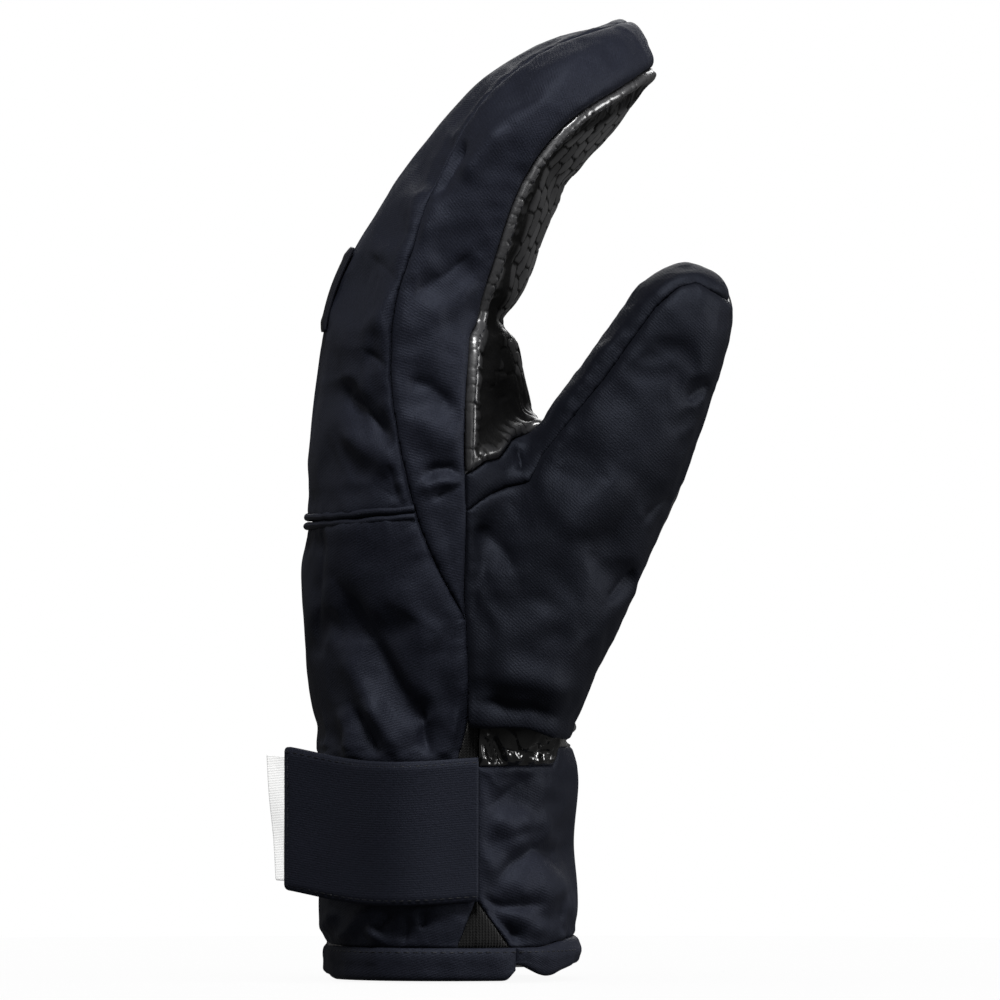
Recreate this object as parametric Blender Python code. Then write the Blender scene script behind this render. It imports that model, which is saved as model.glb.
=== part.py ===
"""An insulated ski mitten that stands upright on its cuff.

+Z runs from the cuff to the fingertips, +X from the back of the hand to the palm, and -Y is the
thumb's side. Two tubes give every layer its shape: the hand tube, from the cuff's hem to the tip
of the finger compartment, and the thumb tube, which rises out of its palm. Each layer is the
space between two depths under that outer surface, and the sewn panels are cut from the outer
layer along their seams, so every panel, pad and lining follows the same few sizes.

A place along a tube is written as a station: 2.35 is 35% of the way along run 2 of its spine.
A place across it is a share of its thickness, from 0 on the back's outline to 1 on the palm's.
"""

import math

import bmesh
import bpy
from mathutils import Matrix, Vector

# ---- Sizes, in metres and degrees ---------------------------------------------------------------

# The hand tube's spine, from the hem to the tip of the finger compartment.
CUFF_RUN = 0.066
WRIST_ARC = 0.020
PALM_RUN = 0.085
KNUCKLE_ARC = 0.021
FINGER_RUN = 0.031
FINGERTIP_ARC = 0.035
TIP_RUN = 0.0200
WRIST_BEND = -5.0
KNUCKLE_BEND = 36.0
FINGERTIP_BEND = 29.0

# The hand tube's thickness, back to palm, and its width, thumb side to little finger side.
CUFF_THICKNESS = 0.0680
WRIST_THICKNESS = 0.0700
PALM_THICKNESS = 0.0730
CROTCH_THICKNESS = 0.0620
KNUCKLE_THICKNESS = 0.0455
FINGER_THICKNESS = 0.0435
FINGERTIP_THICKNESS = 0.0310
TIP_THICKNESS = 0.0170
CUFF_WIDTH = 0.0900
PALM_WIDTH = 0.1040
FINGER_WIDTH = 0.1000
TIP_ROUNDING = 0.0480
TIP_EDGE_ROUNDING = 0.0070
HAND_SQUARENESS = 2.4
END_SQUARENESS = 2.4

# The thumb tube, which starts inside the heel of the hand.
THUMB_BASE_RUN = 0.059
THUMB_ARC = 0.017
THUMB_RUN = 0.064
THUMB_LEAN = 20.5
THUMB_BEND = 7.0
THUMB_BACK_ACROSS = 0.39
THUMB_START_HEIGHT = 0.064
THUMB_MIDDLE_Y = -0.0300
THUMB_SIDE_SEAM_Y = -0.0288
THUMB_THICKNESS = 0.0420
THUMB_TIP_THICKNESS = 0.0240
THUMB_BASE_WIDTH = 0.0500
THUMB_MIDDLE_WIDTH = 0.0460
THUMB_TIP_WIDTH = 0.0370
THUMB_ROUNDING = 0.0180
THUMB_BASE_ROUNDING = 0.0300
THUMB_SQUARENESS = 2.3

# Layers, from the outside in, and what lies between them.
SHELL = 0.0012
INSULATION = 0.0060
MEMBRANE = 0.0005
LINING = 0.0015
LAYER_GAP = 0.0004
SEAM_GAP = 0.0003
TIP_FILL = 1.6  # how fast the layers draw back from a tip, per depth

# Cuff and wrist, as heights above the hem's underside.
HEM_HEIGHT = 0.0095
HEM_PROUD = 0.0004
HEM_DEPTH = 0.0022
CUFF_HEIGHT = 0.058
WRIST_LEATHER_HEIGHT = 0.0115
ELASTIC = 0.0012
SLIT_ACROSS = 0.775
SLIT_GAP = 0.0012
GUSSET_TOP = 0.0225
GUSSET_LEFT = 0.54
GUSSET_RIGHT = 0.755
KNIT_BACK_EDGE = 0.543
KNIT_PALM_EDGE = 0.622

# Strap, hook tape, loop field and label.
STRAP_ROOT_ACROSS = 0.617
STRAP_HEIGHT = 0.0385
STRAP_MIDDLE_HEIGHT = 0.0412
STRAP_LENGTH = 0.0540
STRAP_FREE_LENGTH = 0.0280
STRAP_THICKNESS = 0.0018
STRAP_CLIMB = 3.0
TAPE_THICKNESS = 0.0010
TAPE_MARGIN = 0.0025
TAPE_LENGTH = 0.0270
LOOP_HEIGHT = 0.0340
LOOP_ACROSS = 0.40
LABEL_HEIGHT = 0.0340
LABEL_WIDTH = 0.0050
LABEL_THICKNESS = 0.0009

# Trim on the back.
PIPING_RADIUS = 0.0010
PIPING_SUNK = 0.0002
PIPING_STATION = 2.476
PIPING_INSET = 0.01
PATCH_WIDTH = 0.0340
PATCH_THICKNESS = 0.0012
PATCH_LOW = 3.17
PATCH_HIGH = 3.84

# Joints.
FINGER_JOINT = 3.905
THUMB_JOINT = 2.09

# Seams, as (station, share of the thickness).
BACK_SEAM = (
    (2.13, 0.59),
    (2.35, 0.485),
    (2.56, 0.42),
    (2.89, 0.365),
    (3.20, 0.375),
    (3.80, 0.345),
    (4.45, 0.24),
    (5.10, 0.16),
    (5.60, 0.10),
    (7.00, 0.09),
)
PALM_SEAM = (
    (1.00, 0.575),
    (2.13, 0.59),
    (2.39, 0.63),
    (2.74, 0.69),
    (3.00, 0.79),
    (3.57, 0.86),
    (4.20, 0.82),
    (5.00, 0.73),
    (6.00, 0.74),
    (7.00, 0.88),
)
STRIP_END = 2.16
STRIP_TOP = 2.59
THUMB_SEAM = (
    (2.09, 0.10),
    (2.38, 0.167),
    (2.60, 0.20),
    (2.755, 0.236),
    (2.886, 0.333),
)
THUMB_SEAM_TIP = 2.935

# The fabric at the thumb's root: its own outline, as (tube, station, share).
THUMB_PATCH_CORNERS = (
    ("hand", 2.645, 0.84),
    ("thumb", THUMB_JOINT, -0.03),
    ("thumb", THUMB_JOINT, 1.24),
    ("thumb", 0.30, 1.70),
)
LEATHER_OVERLAP = 8  # half seam gaps by which the leather is cut back past that fabric's seam

# The space that holds the thumb beyond its joint, as shares of its thickness.
THUMB_CUT_LEFT = -0.03
THUMB_CUT_RIGHT = 1.24
THUMB_CUT_TOP_LEFT = -0.60
THUMB_CUT_TOP_RIGHT = 2.20

# How finely the shapes are drawn, and how far the cutters reach.
COLUMNS = 20
THUMB_COLUMNS = 14
RING_STEP = 0.0140
CAP_RINGS = 5
SEAM_STEP = 0.009
PIPING_POINTS = 21
PATCH_STEPS = 8
LOOP_STEPS = 16
STRAP_STEPS = 14
STRAP_TURN = 0.03  # radians between the points that measure the strap's path
REACH = 0.12  # beyond any surface
PAST_TIP = 0.015
MARGIN = 0.12  # shares of the thickness, beyond the outline

FINISHES = {
    "shell": ((0.012, 0.014, 0.022), 0.62, 0.0),
    "leather": ((0.010, 0.010, 0.012), 0.42, 0.0),
    "shiny": ((0.008, 0.008, 0.009), 0.25, 0.0),
    "knit": ((0.016, 0.016, 0.018), 0.9, 0.0),
    "filling": ((0.72, 0.72, 0.70), 0.95, 0.0),
    "membrane": ((0.62, 0.66, 0.70), 0.35, 0.0),
    "lining": ((0.05, 0.05, 0.055), 0.95, 0.0),
    "hook": ((0.012, 0.012, 0.013), 0.55, 0.0),
    "label": ((0.82, 0.82, 0.81), 0.6, 0.0),
    "patch": ((0.014, 0.014, 0.018), 0.5, 0.0),
}


# ---- Curves -------------------------------------------------------------------------------------


def advance(x, z, lean, step, turn):
    """The end of an arc of this length that turns the lean by `turn`, or of a straight run."""
    if abs(turn) < 1e-9:
        return x + step * math.sin(lean), z + step * math.cos(lean), lean
    radius = step / turn
    after = lean + turn
    x += radius * (math.cos(lean) - math.cos(after))
    z += radius * (math.sin(after) - math.sin(lean))
    return x, z, after


def smooth_between(stations, where):
    """A smooth value through (place, value) pairs, held flat past both ends."""
    if where <= stations[0][0]:
        return stations[0][1]
    if where >= stations[-1][0]:
        return stations[-1][1]

    def slope(index):
        before, first = stations[max(index - 1, 0)]
        after, last = stations[min(index + 1, len(stations) - 1)]
        return (last - first) / (after - before)

    upper = next(i for i, (place, value) in enumerate(stations) if where <= place)
    (low, first), (high, last) = stations[upper - 1], stations[upper]
    span = high - low
    t = (where - low) / span
    rise = slope(upper - 1) * span * t * (1 - t) ** 2 - slope(upper) * span * t * t * (1 - t)
    return first + (last - first) * t * t * (3 - 2 * t) + rise


def round_off(share):
    """1 away from a rounded end, falling to 0 at the end itself."""
    left = 1 - min(max(share, 0.0), 1.0)
    return (1 - left**END_SQUARENESS) ** (1 / END_SQUARENESS)


class Tube:
    """Flattened round sections strung along a spine that bends in a plane of constant Y."""

    def __init__(self, start, middle_y, lean, runs, thickness, width, squareness, columns):
        self.start = start
        self.middle_y = middle_y
        self.lean = math.radians(lean)
        self.runs = runs
        self.squareness = squareness
        self.columns = columns
        self.length = sum(length for length, bend in runs)
        self.thickness_at = [(self.at(station), size) for station, size in thickness]
        self.width_at = [(self.at(station), size) for station, size in width]
        self.rounding = self.edge_rounding = THUMB_ROUNDING
        self.base_rounding = None

    def at(self, station):
        """Distance along the spine of a station."""
        whole = min(int(station), len(self.runs) - 1)
        done = sum(length for length, bend in self.runs[:whole])
        return done + (station - whole) * self.runs[whole][0]

    def spine(self, s):
        x, z = self.start
        lean = self.lean
        for length, bend in self.runs:
            step = min(s, length)
            x, z, lean = advance(x, z, lean, step, math.radians(bend) * step / length)
            s -= step
        return advance(x, z, lean, s, 0.0)

    def thickness(self, s):
        return smooth_between(self.thickness_at, s)

    def across(self, s, share):
        """(x, z) at a share of the thickness, which may lie outside the tube."""
        x, z, lean = self.spine(s)
        offset = (share - 0.5) * self.thickness(s)
        return x + offset * math.cos(lean), z - offset * math.sin(lean)

    def end(self, depth):
        return self.length - TIP_FILL * depth

    def half_sizes(self, s, depth):
        left = self.end(depth) - s
        half_thick = (self.thickness(s) / 2 - depth) * round_off(left / self.edge_rounding)
        half_wide = (smooth_between(self.width_at, s) / 2 - depth) * round_off(left / self.rounding)
        if self.base_rounding:
            base = round_off((s - depth) / self.base_rounding)
            half_thick *= base
            half_wide *= base
        return half_thick, half_wide

    def point(self, s, angle, depth=0.0):
        """A point on the surface at this depth: angle 0 faces the palm and 180 the back."""
        x, z, lean = self.spine(s)
        half_thick, half_wide = self.half_sizes(s, depth)
        power = 2 / self.squareness
        cosine, sine = math.cos(angle), math.sin(angle)
        offset = half_thick * math.copysign(abs(cosine) ** power, cosine)
        y = self.middle_y + half_wide * math.copysign(abs(sine) ** power, sine)
        return Vector((x + offset * math.cos(lean), y, z - offset * math.sin(lean)))

    def angle(self, share):
        """The angle, from 0 to pi, at which the surface reaches this share of the thickness."""
        side = 2 * share - 1
        cosine = math.copysign(abs(side) ** (self.squareness / 2), side)
        sine = (1 - abs(side) ** self.squareness) ** 0.5
        return math.atan2(sine, cosine)

    def ring_places(self, depth):
        """Ring distances: even steps, and closer ones where the ends are rounded."""
        first, last = -RING_STEP, self.length - self.rounding
        places = []
        if self.base_rounding:
            first = depth + self.base_rounding
            for ring in range(1, CAP_RINGS):
                share = 1 - math.cos(math.pi / 2 * ring / CAP_RINGS)
                places.append(depth + self.base_rounding * share)
        steps = math.ceil((last - first) / RING_STEP)
        places += [first + (last - first) * step / steps for step in range(steps + 1)]
        for ring in range(1, CAP_RINGS):
            share = math.sin(math.pi / 2 * ring / CAP_RINGS)
            places.append(last + (self.end(depth) - last) * share)
        return places


def hand_tube():
    runs = (
        (CUFF_RUN, 0.0),
        (WRIST_ARC, WRIST_BEND),
        (PALM_RUN, 0.0),
        (KNUCKLE_ARC, KNUCKLE_BEND),
        (FINGER_RUN, 0.0),
        (FINGERTIP_ARC, FINGERTIP_BEND),
        (TIP_RUN, 0.0),
    )
    thickness = (
        (0, CUFF_THICKNESS),
        (1, WRIST_THICKNESS),
        (2.24, PALM_THICKNESS),
        (2.74, CROTCH_THICKNESS),
        (3.57, KNUCKLE_THICKNESS),
        (4.5, FINGER_THICKNESS),
        (6, FINGERTIP_THICKNESS),
        (7, TIP_THICKNESS),
    )
    width = (
        (0, CUFF_WIDTH),
        (1, CUFF_WIDTH),
        (2.6, PALM_WIDTH),
        (4.5, FINGER_WIDTH),
        (7, FINGER_WIDTH),
    )
    tube = Tube((0.0, 0.0), 0.0, 0.0, runs, thickness, width, HAND_SQUARENESS, COLUMNS)
    tube.rounding = TIP_ROUNDING
    tube.edge_rounding = TIP_EDGE_ROUNDING
    return tube


def thumb_tube(hand):
    half = THUMB_THICKNESS / 2 / hand.thickness(THUMB_START_HEIGHT)
    middle_x, _ = hand.across(THUMB_START_HEIGHT, THUMB_BACK_ACROSS + half)
    start = (middle_x, THUMB_START_HEIGHT)
    runs = ((THUMB_BASE_RUN, 0.0), (THUMB_ARC, THUMB_BEND), (THUMB_RUN, 0.0))
    thickness = (
        (0, THUMB_THICKNESS),
        (0.6, THUMB_THICKNESS),
        (2.06, THUMB_THICKNESS),
        (3, THUMB_TIP_THICKNESS),
    )
    width = ((0, THUMB_BASE_WIDTH), (2, THUMB_MIDDLE_WIDTH), (3, THUMB_TIP_WIDTH))
    shape = (thickness, width, THUMB_SQUARENESS, THUMB_COLUMNS)
    tube = Tube(start, THUMB_MIDDLE_Y, THUMB_LEAN, runs, *shape)
    tube.base_rounding = THUMB_BASE_ROUNDING
    return tube


# ---- Blender helpers ----------------------------------------------------------------------------


def add_object(name, mesh):
    piece = bpy.data.objects.new(name, mesh)
    bpy.context.scene.collection.objects.link(piece)
    return piece


def mesh_of(name, build, turn_out=True):
    """A mesh made by `build`, which fills a bmesh. A closed one has its faces turned outwards."""
    shape = bmesh.new()
    build(shape)
    if turn_out:
        bmesh.ops.recalc_face_normals(shape, faces=shape.faces[:])
    mesh = bpy.data.meshes.new(name)
    shape.to_mesh(mesh)
    shape.free()
    return mesh


def finish(piece, finish_name):
    colour, roughness, metallic = FINISHES[finish_name]
    material = bpy.data.materials.new(piece.name)
    material.use_nodes = True
    shader = material.node_tree.nodes["Principled BSDF"]
    shader.inputs["Base Color"].default_value = (*colour, 1.0)
    shader.inputs["Roughness"].default_value = roughness
    shader.inputs["Metallic"].default_value = metallic
    piece.data.materials.append(material)


def helper(piece):
    """Marks a cutter, which shapes other pieces and is none itself."""
    piece.hide_render = True
    piece.display_type = "WIRE"
    return piece


def boolean(piece, operation, other, solver="EXACT"):
    cut = piece.modifiers.new(operation.title() + " " + other.name, "BOOLEAN")
    cut.operation = operation
    cut.solver = solver
    cut.object = other


def tube_mesh(tube, depth):
    """The solid inside the tube's surface at this depth."""

    def build(shape):
        turns = [2 * math.pi * column / tube.columns for column in range(tube.columns)]
        rings = []
        for s in tube.ring_places(depth):
            rings.append([shape.verts.new(tube.point(s, turn, depth)) for turn in turns])
        for lower, upper in zip(rings, rings[1:]):
            for column in range(tube.columns):
                after = (column + 1) % tube.columns
                shape.faces.new((lower[column], lower[after], upper[after], upper[column]))
        close_end(shape, rings[-1], tube.spine(tube.end(depth)), tube.middle_y)
        if tube.base_rounding:
            close_end(shape, rings[0], tube.spine(depth), tube.middle_y)
        else:
            shape.faces.new(rings[0])

    return mesh_of("tube", build)


def close_end(shape, ring, place, middle_y):
    x, z, lean = place
    pole = shape.verts.new((x, middle_y, z))
    for column, corner in enumerate(ring):
        shape.faces.new((corner, ring[(column + 1) % len(ring)], pole))


def prism(name, outline, low_y=-REACH, high_y=REACH):
    """A cutter: an outline of (x, z) points, carried from low_y to high_y."""

    def build(shape):
        base = shape.faces.new([shape.verts.new((x, low_y, z)) for x, z in outline])
        grown = bmesh.ops.extrude_face_region(shape, geom=[base])
        corners = [item for item in grown["geom"] if isinstance(item, bmesh.types.BMVert)]
        bmesh.ops.translate(shape, verts=corners, vec=(0, high_y - low_y, 0))

    return helper(add_object(name, mesh_of(name, build)))


def sheet(name, rows, thickness):
    """A plate: a grid of points given row by row, thickened to its outer side."""

    def build(shape):
        grid = [[shape.verts.new(point) for point in row] for row in rows]
        for lower, upper in zip(grid, grid[1:]):
            for column in range(len(lower) - 1):
                after = column + 1
                shape.faces.new((lower[column], lower[after], upper[after], upper[column]))

    piece = add_object(name, mesh_of(name, build, turn_out=False))
    thicken = piece.modifiers.new("Thickness", "SOLIDIFY")
    thicken.thickness = thickness
    thicken.offset = 1.0
    return piece


# ---- Seams and outlines -------------------------------------------------------------------------


def seam_line(tube, seam, low, high, side=0):
    """Points along a seam between two distances, moved half a gap to the back (-1) or palm (+1)."""
    placed = [(tube.at(station), share) for station, share in seam]
    steps = max(2, math.ceil((high - low) / SEAM_STEP))
    points = []
    for step in range(steps + 1):
        s = low + (high - low) * step / steps
        shift = side * SEAM_GAP / 2 / tube.thickness(s)
        points.append(tube.across(s, smooth_between(placed, s) + shift))
    return points


def outer_line(tube, low, high, share):
    """Points along a line of constant share, at the same steps as a seam."""
    return seam_line(tube, ((0, share), (1, share)), low, high)


def outline(first, second):
    """The outline between two lines that run the same way."""
    return first + second[::-1]


def across_cutter(name, tube, span, shares, **sides):
    """A cutter between two distances along a tube and two shares of its thickness."""
    edges = outline(outer_line(tube, *span, shares[0]), outer_line(tube, *span, shares[1]))
    return prism(name, edges, **sides)


class Glove:
    """The two tubes and the cutters that the pieces share."""

    def __init__(self):
        self.hand = hand_tube()
        self.thumb = thumb_tube(self.hand)
        self.solids = {}
        self.finger_joint = self.hand.at(FINGER_JOINT)
        self.thumb_joint = self.thumb.at(THUMB_JOINT)
        self.wrist_top = CUFF_HEIGHT + WRIST_LEATHER_HEIGHT
        self.beyond_tip = self.hand.length + PAST_TIP
        self.above_thumb = self.thumb_half("above_thumb", 1)
        self.thumb_only = self.thumb_half("thumb_only", -1)

    def solid(self, which, depth):
        """The hidden solid of one tube at one depth, made once."""
        key = (which, round(depth * 1e6))
        if key not in self.solids:
            name = f"{which}_solid_{key[1]}um"
            self.solids[key] = helper(add_object(name, tube_mesh(getattr(self, which), depth)))
        return self.solids[key]

    def thumb_half(self, name, side):
        """The thumb beyond its joint's plane; side 1 reaches a seam's gap lower than side -1."""
        joint = self.thumb_joint - side * SEAM_GAP / 2
        top = self.thumb.length + PAST_TIP
        corners = [(joint, THUMB_CUT_LEFT), (joint, THUMB_CUT_RIGHT)]
        corners += [(top, THUMB_CUT_TOP_RIGHT), (top, THUMB_CUT_TOP_LEFT)]
        return prism(name, [self.thumb.across(s, share) for s, share in corners])

    def layer(self, name, tubes, outer, inner, finish_name):
        """The space between two depths under the surface of one tube, or of both joined."""
        piece = add_object(name, tube_mesh(getattr(self, tubes[0]), outer))
        for other in tubes[1:]:
            boolean(piece, "UNION", self.solid(other, outer))
        for which in tubes:
            boolean(piece, "DIFFERENCE", self.solid(which, inner))
        finish(piece, finish_name)
        return piece

    def panel(self, name, finish_name, keep, tubes=("hand",), outer=0.0, inner=SHELL):
        """A part of the outer layer, kept inside one cutter."""
        piece = self.layer(name, tubes, outer, inner, finish_name)
        boolean(piece, "INTERSECT", keep)
        return piece


# ---- Panels of the hand and fingers -------------------------------------------------------------


def back_panels(glove):
    """The back in three lengths: below the piping, over the hand, and over the fingers."""
    hand = glove.hand
    half = SEAM_GAP / 2
    piping = hand.at(PIPING_STATION)
    room = 2 * PIPING_RADIUS + half + SEAM_GAP
    wedge = hand.at(BACK_SEAM[0][0])

    low = CUFF_HEIGHT + half
    step = glove.wrist_top
    knit = [hand.across(low, KNIT_BACK_EDGE), hand.across(step, KNIT_BACK_EDGE)]
    edge = knit + seam_line(hand, PALM_SEAM, step + half, wedge, -1)
    edge += seam_line(hand, BACK_SEAM, wedge, piping - room, -1)[1:]
    back = outer_line(hand, low, piping - room, -MARGIN)
    lower = prism("back_lower_outline", outline(back, edge))
    glove.panel("lower_back_panel", "shell", lower)

    for name, start, stop in (
        ("back_panel_hand", piping + room, glove.finger_joint - half),
        ("back_panel_fingers", glove.finger_joint + half, glove.beyond_tip),
    ):
        edge = seam_line(hand, BACK_SEAM, start, stop, -1)
        keep = prism(name + "_outline", outline(outer_line(hand, start, stop, -MARGIN), edge))
        glove.panel(name, "shell", keep)


def side_strips(glove):
    """The strip between back and palm: one on each side of the hand, and one round the fingers."""
    hand = glove.hand
    half = SEAM_GAP / 2
    start = hand.at(STRIP_END)
    stop = glove.finger_joint - half

    def edges(low, high):
        back = seam_line(hand, BACK_SEAM, low, high, 1)
        return outline(back, seam_line(hand, PALM_SEAM, low, high, -1))

    sides = (("thumb_side_strip", -REACH, 0.0), ("outer_side_strip", 0.0, REACH))
    for name, low_y, high_y in sides:
        keep = prism(name + "_outline", edges(start, stop), low_y, high_y)
        glove.panel(name, "shell", keep)

    keep = prism("side_strip_fingers_outline", edges(glove.finger_joint + half, glove.beyond_tip))
    glove.panel("side_strip_fingers", "shell", keep)


def thumb_patch_outline(glove, inset, seam_side):
    """The outline, on the thumb's side, of the fabric from the wrist up to the thumb's joint."""
    hand = glove.hand
    start = glove.wrist_top + SEAM_GAP / 2 + inset
    points = seam_line(hand, PALM_SEAM, start, hand.at(STRIP_TOP), seam_side)
    for which, station, share in THUMB_PATCH_CORNERS:
        tube = getattr(glove, which)
        back = SEAM_GAP / 2 + inset if station == THUMB_JOINT else 0.0
        points.append(tube.across(tube.at(station) - back, share))
    return points + [hand.across(start, 1 + 3 * MARGIN)]


def palm_leather(glove):
    """Leather up to the finger joint, with the thumb's root cut out, and on over the fingers."""
    hand = glove.hand
    half = SEAM_GAP / 2
    start, stop = glove.wrist_top + half, glove.finger_joint - half
    palm = outer_line(hand, start, stop, 1 + MARGIN)
    keep = prism("palm_outline", outline(seam_line(hand, PALM_SEAM, start, stop, 1), palm))
    piece = glove.panel("palm_leather_hand", "leather", keep)
    points = thumb_patch_outline(glove, -SEAM_GAP, -LEATHER_OVERLAP)
    patch = prism("thumb_patch_cut", points, high_y=THUMB_SIDE_SEAM_Y + SEAM_GAP)
    boolean(piece, "DIFFERENCE", patch, "MANIFOLD")
    boolean(piece, "DIFFERENCE", glove.solid("thumb", -2 * SEAM_GAP), "MANIFOLD")

    start, stop = glove.finger_joint + half, glove.beyond_tip
    palm = outer_line(hand, start, stop, 1 + MARGIN)
    keep = prism("palm_fingers_outline", outline(seam_line(hand, PALM_SEAM, start, stop, 1), palm))
    glove.panel("palm_leather_fingers", "leather", keep)


def thumb_base(glove):
    """Below the thumb's joint: its fabric on the thumb's side, its leather on the palm's side."""
    keep = prism("thumb_patch", thumb_patch_outline(glove, 0.0, 1), high_y=THUMB_SIDE_SEAM_Y)
    glove.panel("thumb_base_panel", "shell", keep, tubes=("hand", "thumb"))

    piece = glove.layer("thumb_base_leather", ("thumb",), 0.0, SHELL, "leather")
    boolean(piece, "DIFFERENCE", glove.solid("hand", -SEAM_GAP))
    boolean(piece, "DIFFERENCE", glove.above_thumb)
    near = outer_box("thumb_near_half", THUMB_SIDE_SEAM_Y + SEAM_GAP)
    boolean(piece, "DIFFERENCE", near)


def outer_box(name, high_y):
    """A cutter that holds everything on the thumb's side of a plane of constant Y."""
    reach = 4 * REACH
    corners = [(-reach, -reach), (reach, -reach), (reach, reach), (-reach, reach)]
    return prism(name, corners, high_y=high_y)


def thumb_pieces(glove):
    """Above the thumb's joint: outer panel, inner strip, and leather on the palm's side."""
    thumb = glove.thumb
    start = glove.thumb_joint + SEAM_GAP / 2
    top = thumb.length + PAST_TIP
    palm = 1 + MARGIN

    def seam(side):
        over = thumb.at(THUMB_SEAM_TIP) - side * SEAM_GAP / 2
        edge = seam_line(thumb, THUMB_SEAM, start, thumb.at(THUMB_SEAM[-1][0]), side)
        return edge + [thumb.across(over, 0.5), thumb.across(over, palm)]

    outer = seam(1) + [thumb.across(start, palm)]
    around = ((top, palm), (top, -MARGIN), (start, -MARGIN))
    inner = seam(-1) + [thumb.across(*place) for place in around]
    for name, points in (("thumb_outer_panel", outer), ("thumb_inner_strip", inner)):
        keep = prism(name + "_outline", points, high_y=THUMB_SIDE_SEAM_Y)
        glove.panel(name, "shell", keep, tubes=("thumb",))

    piece = glove.panel("thumb_leather", "leather", glove.thumb_only, tubes=("thumb",))
    boolean(piece, "DIFFERENCE", bpy.data.objects["thumb_near_half"])


# ---- Cuff and wrist -----------------------------------------------------------------------------


def wrist(glove):
    """Gathered leather below the thumb, its knit gusset, and the elastic inside."""
    hand = glove.hand
    half = SEAM_GAP / 2
    start, stop = CUFF_HEIGHT + half, glove.wrist_top - half

    def band(name, low, high, **sides):
        return across_cutter(name, hand, (start, stop), (low, high), **sides)

    gap = SEAM_GAP / hand.thickness(start)
    near = band("wrist_leather_near", KNIT_PALM_EDGE + gap, 1 + MARGIN, high_y=SEAM_GAP)
    far = band("wrist_leather_far", KNIT_BACK_EDGE + gap, 1 + MARGIN, low_y=-SEAM_GAP)
    boolean(near, "UNION", far)
    glove.panel("wrist_leather", "shiny", near)
    knit = band("knit_outline", KNIT_BACK_EDGE + gap, KNIT_PALM_EDGE, high_y=0.0)
    glove.panel("wrist_knit_gusset", "knit", knit)

    under = SHELL + LAYER_GAP
    ring = band("elastic_outline", -MARGIN, 1 + MARGIN)
    glove.panel("wrist_elastic", "knit", ring, outer=under, inner=under + ELASTIC)


def cuff(glove):
    """Two cuff panels that part in a slit, its gusset, their hems, and the cuff's lining."""
    hand = glove.hand
    half = SEAM_GAP / 2
    low, high = HEM_HEIGHT + half, CUFF_HEIGHT - half
    gap = SEAM_GAP / 2 / CUFF_THICKNESS
    split = STRAP_ROOT_ACROSS

    back_keep = across_cutter("cuff_back_outline", hand, (low, high), (-MARGIN, split - gap))
    palm_keep = across_cutter("cuff_palm_outline", hand, (low, high), (split + gap, 1 + MARGIN))
    back = glove.panel("cuff_back_panel", "shell", back_keep)
    palm = glove.panel("cuff_palm_panel", "shell", palm_keep)
    base = low - HEM_HEIGHT / 2
    stretch = (GUSSET_TOP - base) / (GUSSET_TOP - low)
    left, right = split - (split - GUSSET_LEFT) * stretch, split + (GUSSET_RIGHT - split) * stretch
    blunt = 4 * gap
    wide = [(base, left), (GUSSET_TOP, split - blunt), (GUSSET_TOP, split + blunt), (base, right)]
    opening = prism("gusset_cut", [hand.across(s, share) for s, share in wide], high_y=0.0)
    for piece in (back, palm):
        boolean(piece, "DIFFERENCE", opening, "MANIFOLD")
    apex = GUSSET_TOP - 8 * SEAM_GAP
    slim = [(low, GUSSET_LEFT + 3 * gap), (apex, split - gap)]
    slim += [(apex, split + gap), (low, GUSSET_RIGHT - 3 * gap)]
    keep = prism("gusset_outline", [hand.across(s, share) for s, share in slim], high_y=0.0)
    glove.panel("cuff_gusset", "knit", keep)

    top = HEM_HEIGHT - half
    slit = SLIT_GAP / 2 / CUFF_THICKNESS
    for name, low_share, high_share in (
        ("cuff_back_hem", -MARGIN, SLIT_ACROSS - slit),
        ("cuff_palm_hem", SLIT_ACROSS + slit, 1 + MARGIN),
    ):
        keep = across_cutter(name + "_outline", hand, (0.0, top), (low_share, high_share))
        glove.panel(name, "shell", keep, outer=-HEM_PROUD, inner=HEM_DEPTH)

    under = SHELL + LAYER_GAP
    ring = across_cutter("cuff_lining_outline", hand, (low, high), (-MARGIN, 1 + MARGIN))
    glove.panel("cuff_lining", "lining", ring, outer=under, inner=under + LINING)


# ---- Filling, membrane and lining ---------------------------------------------------------------


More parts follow.
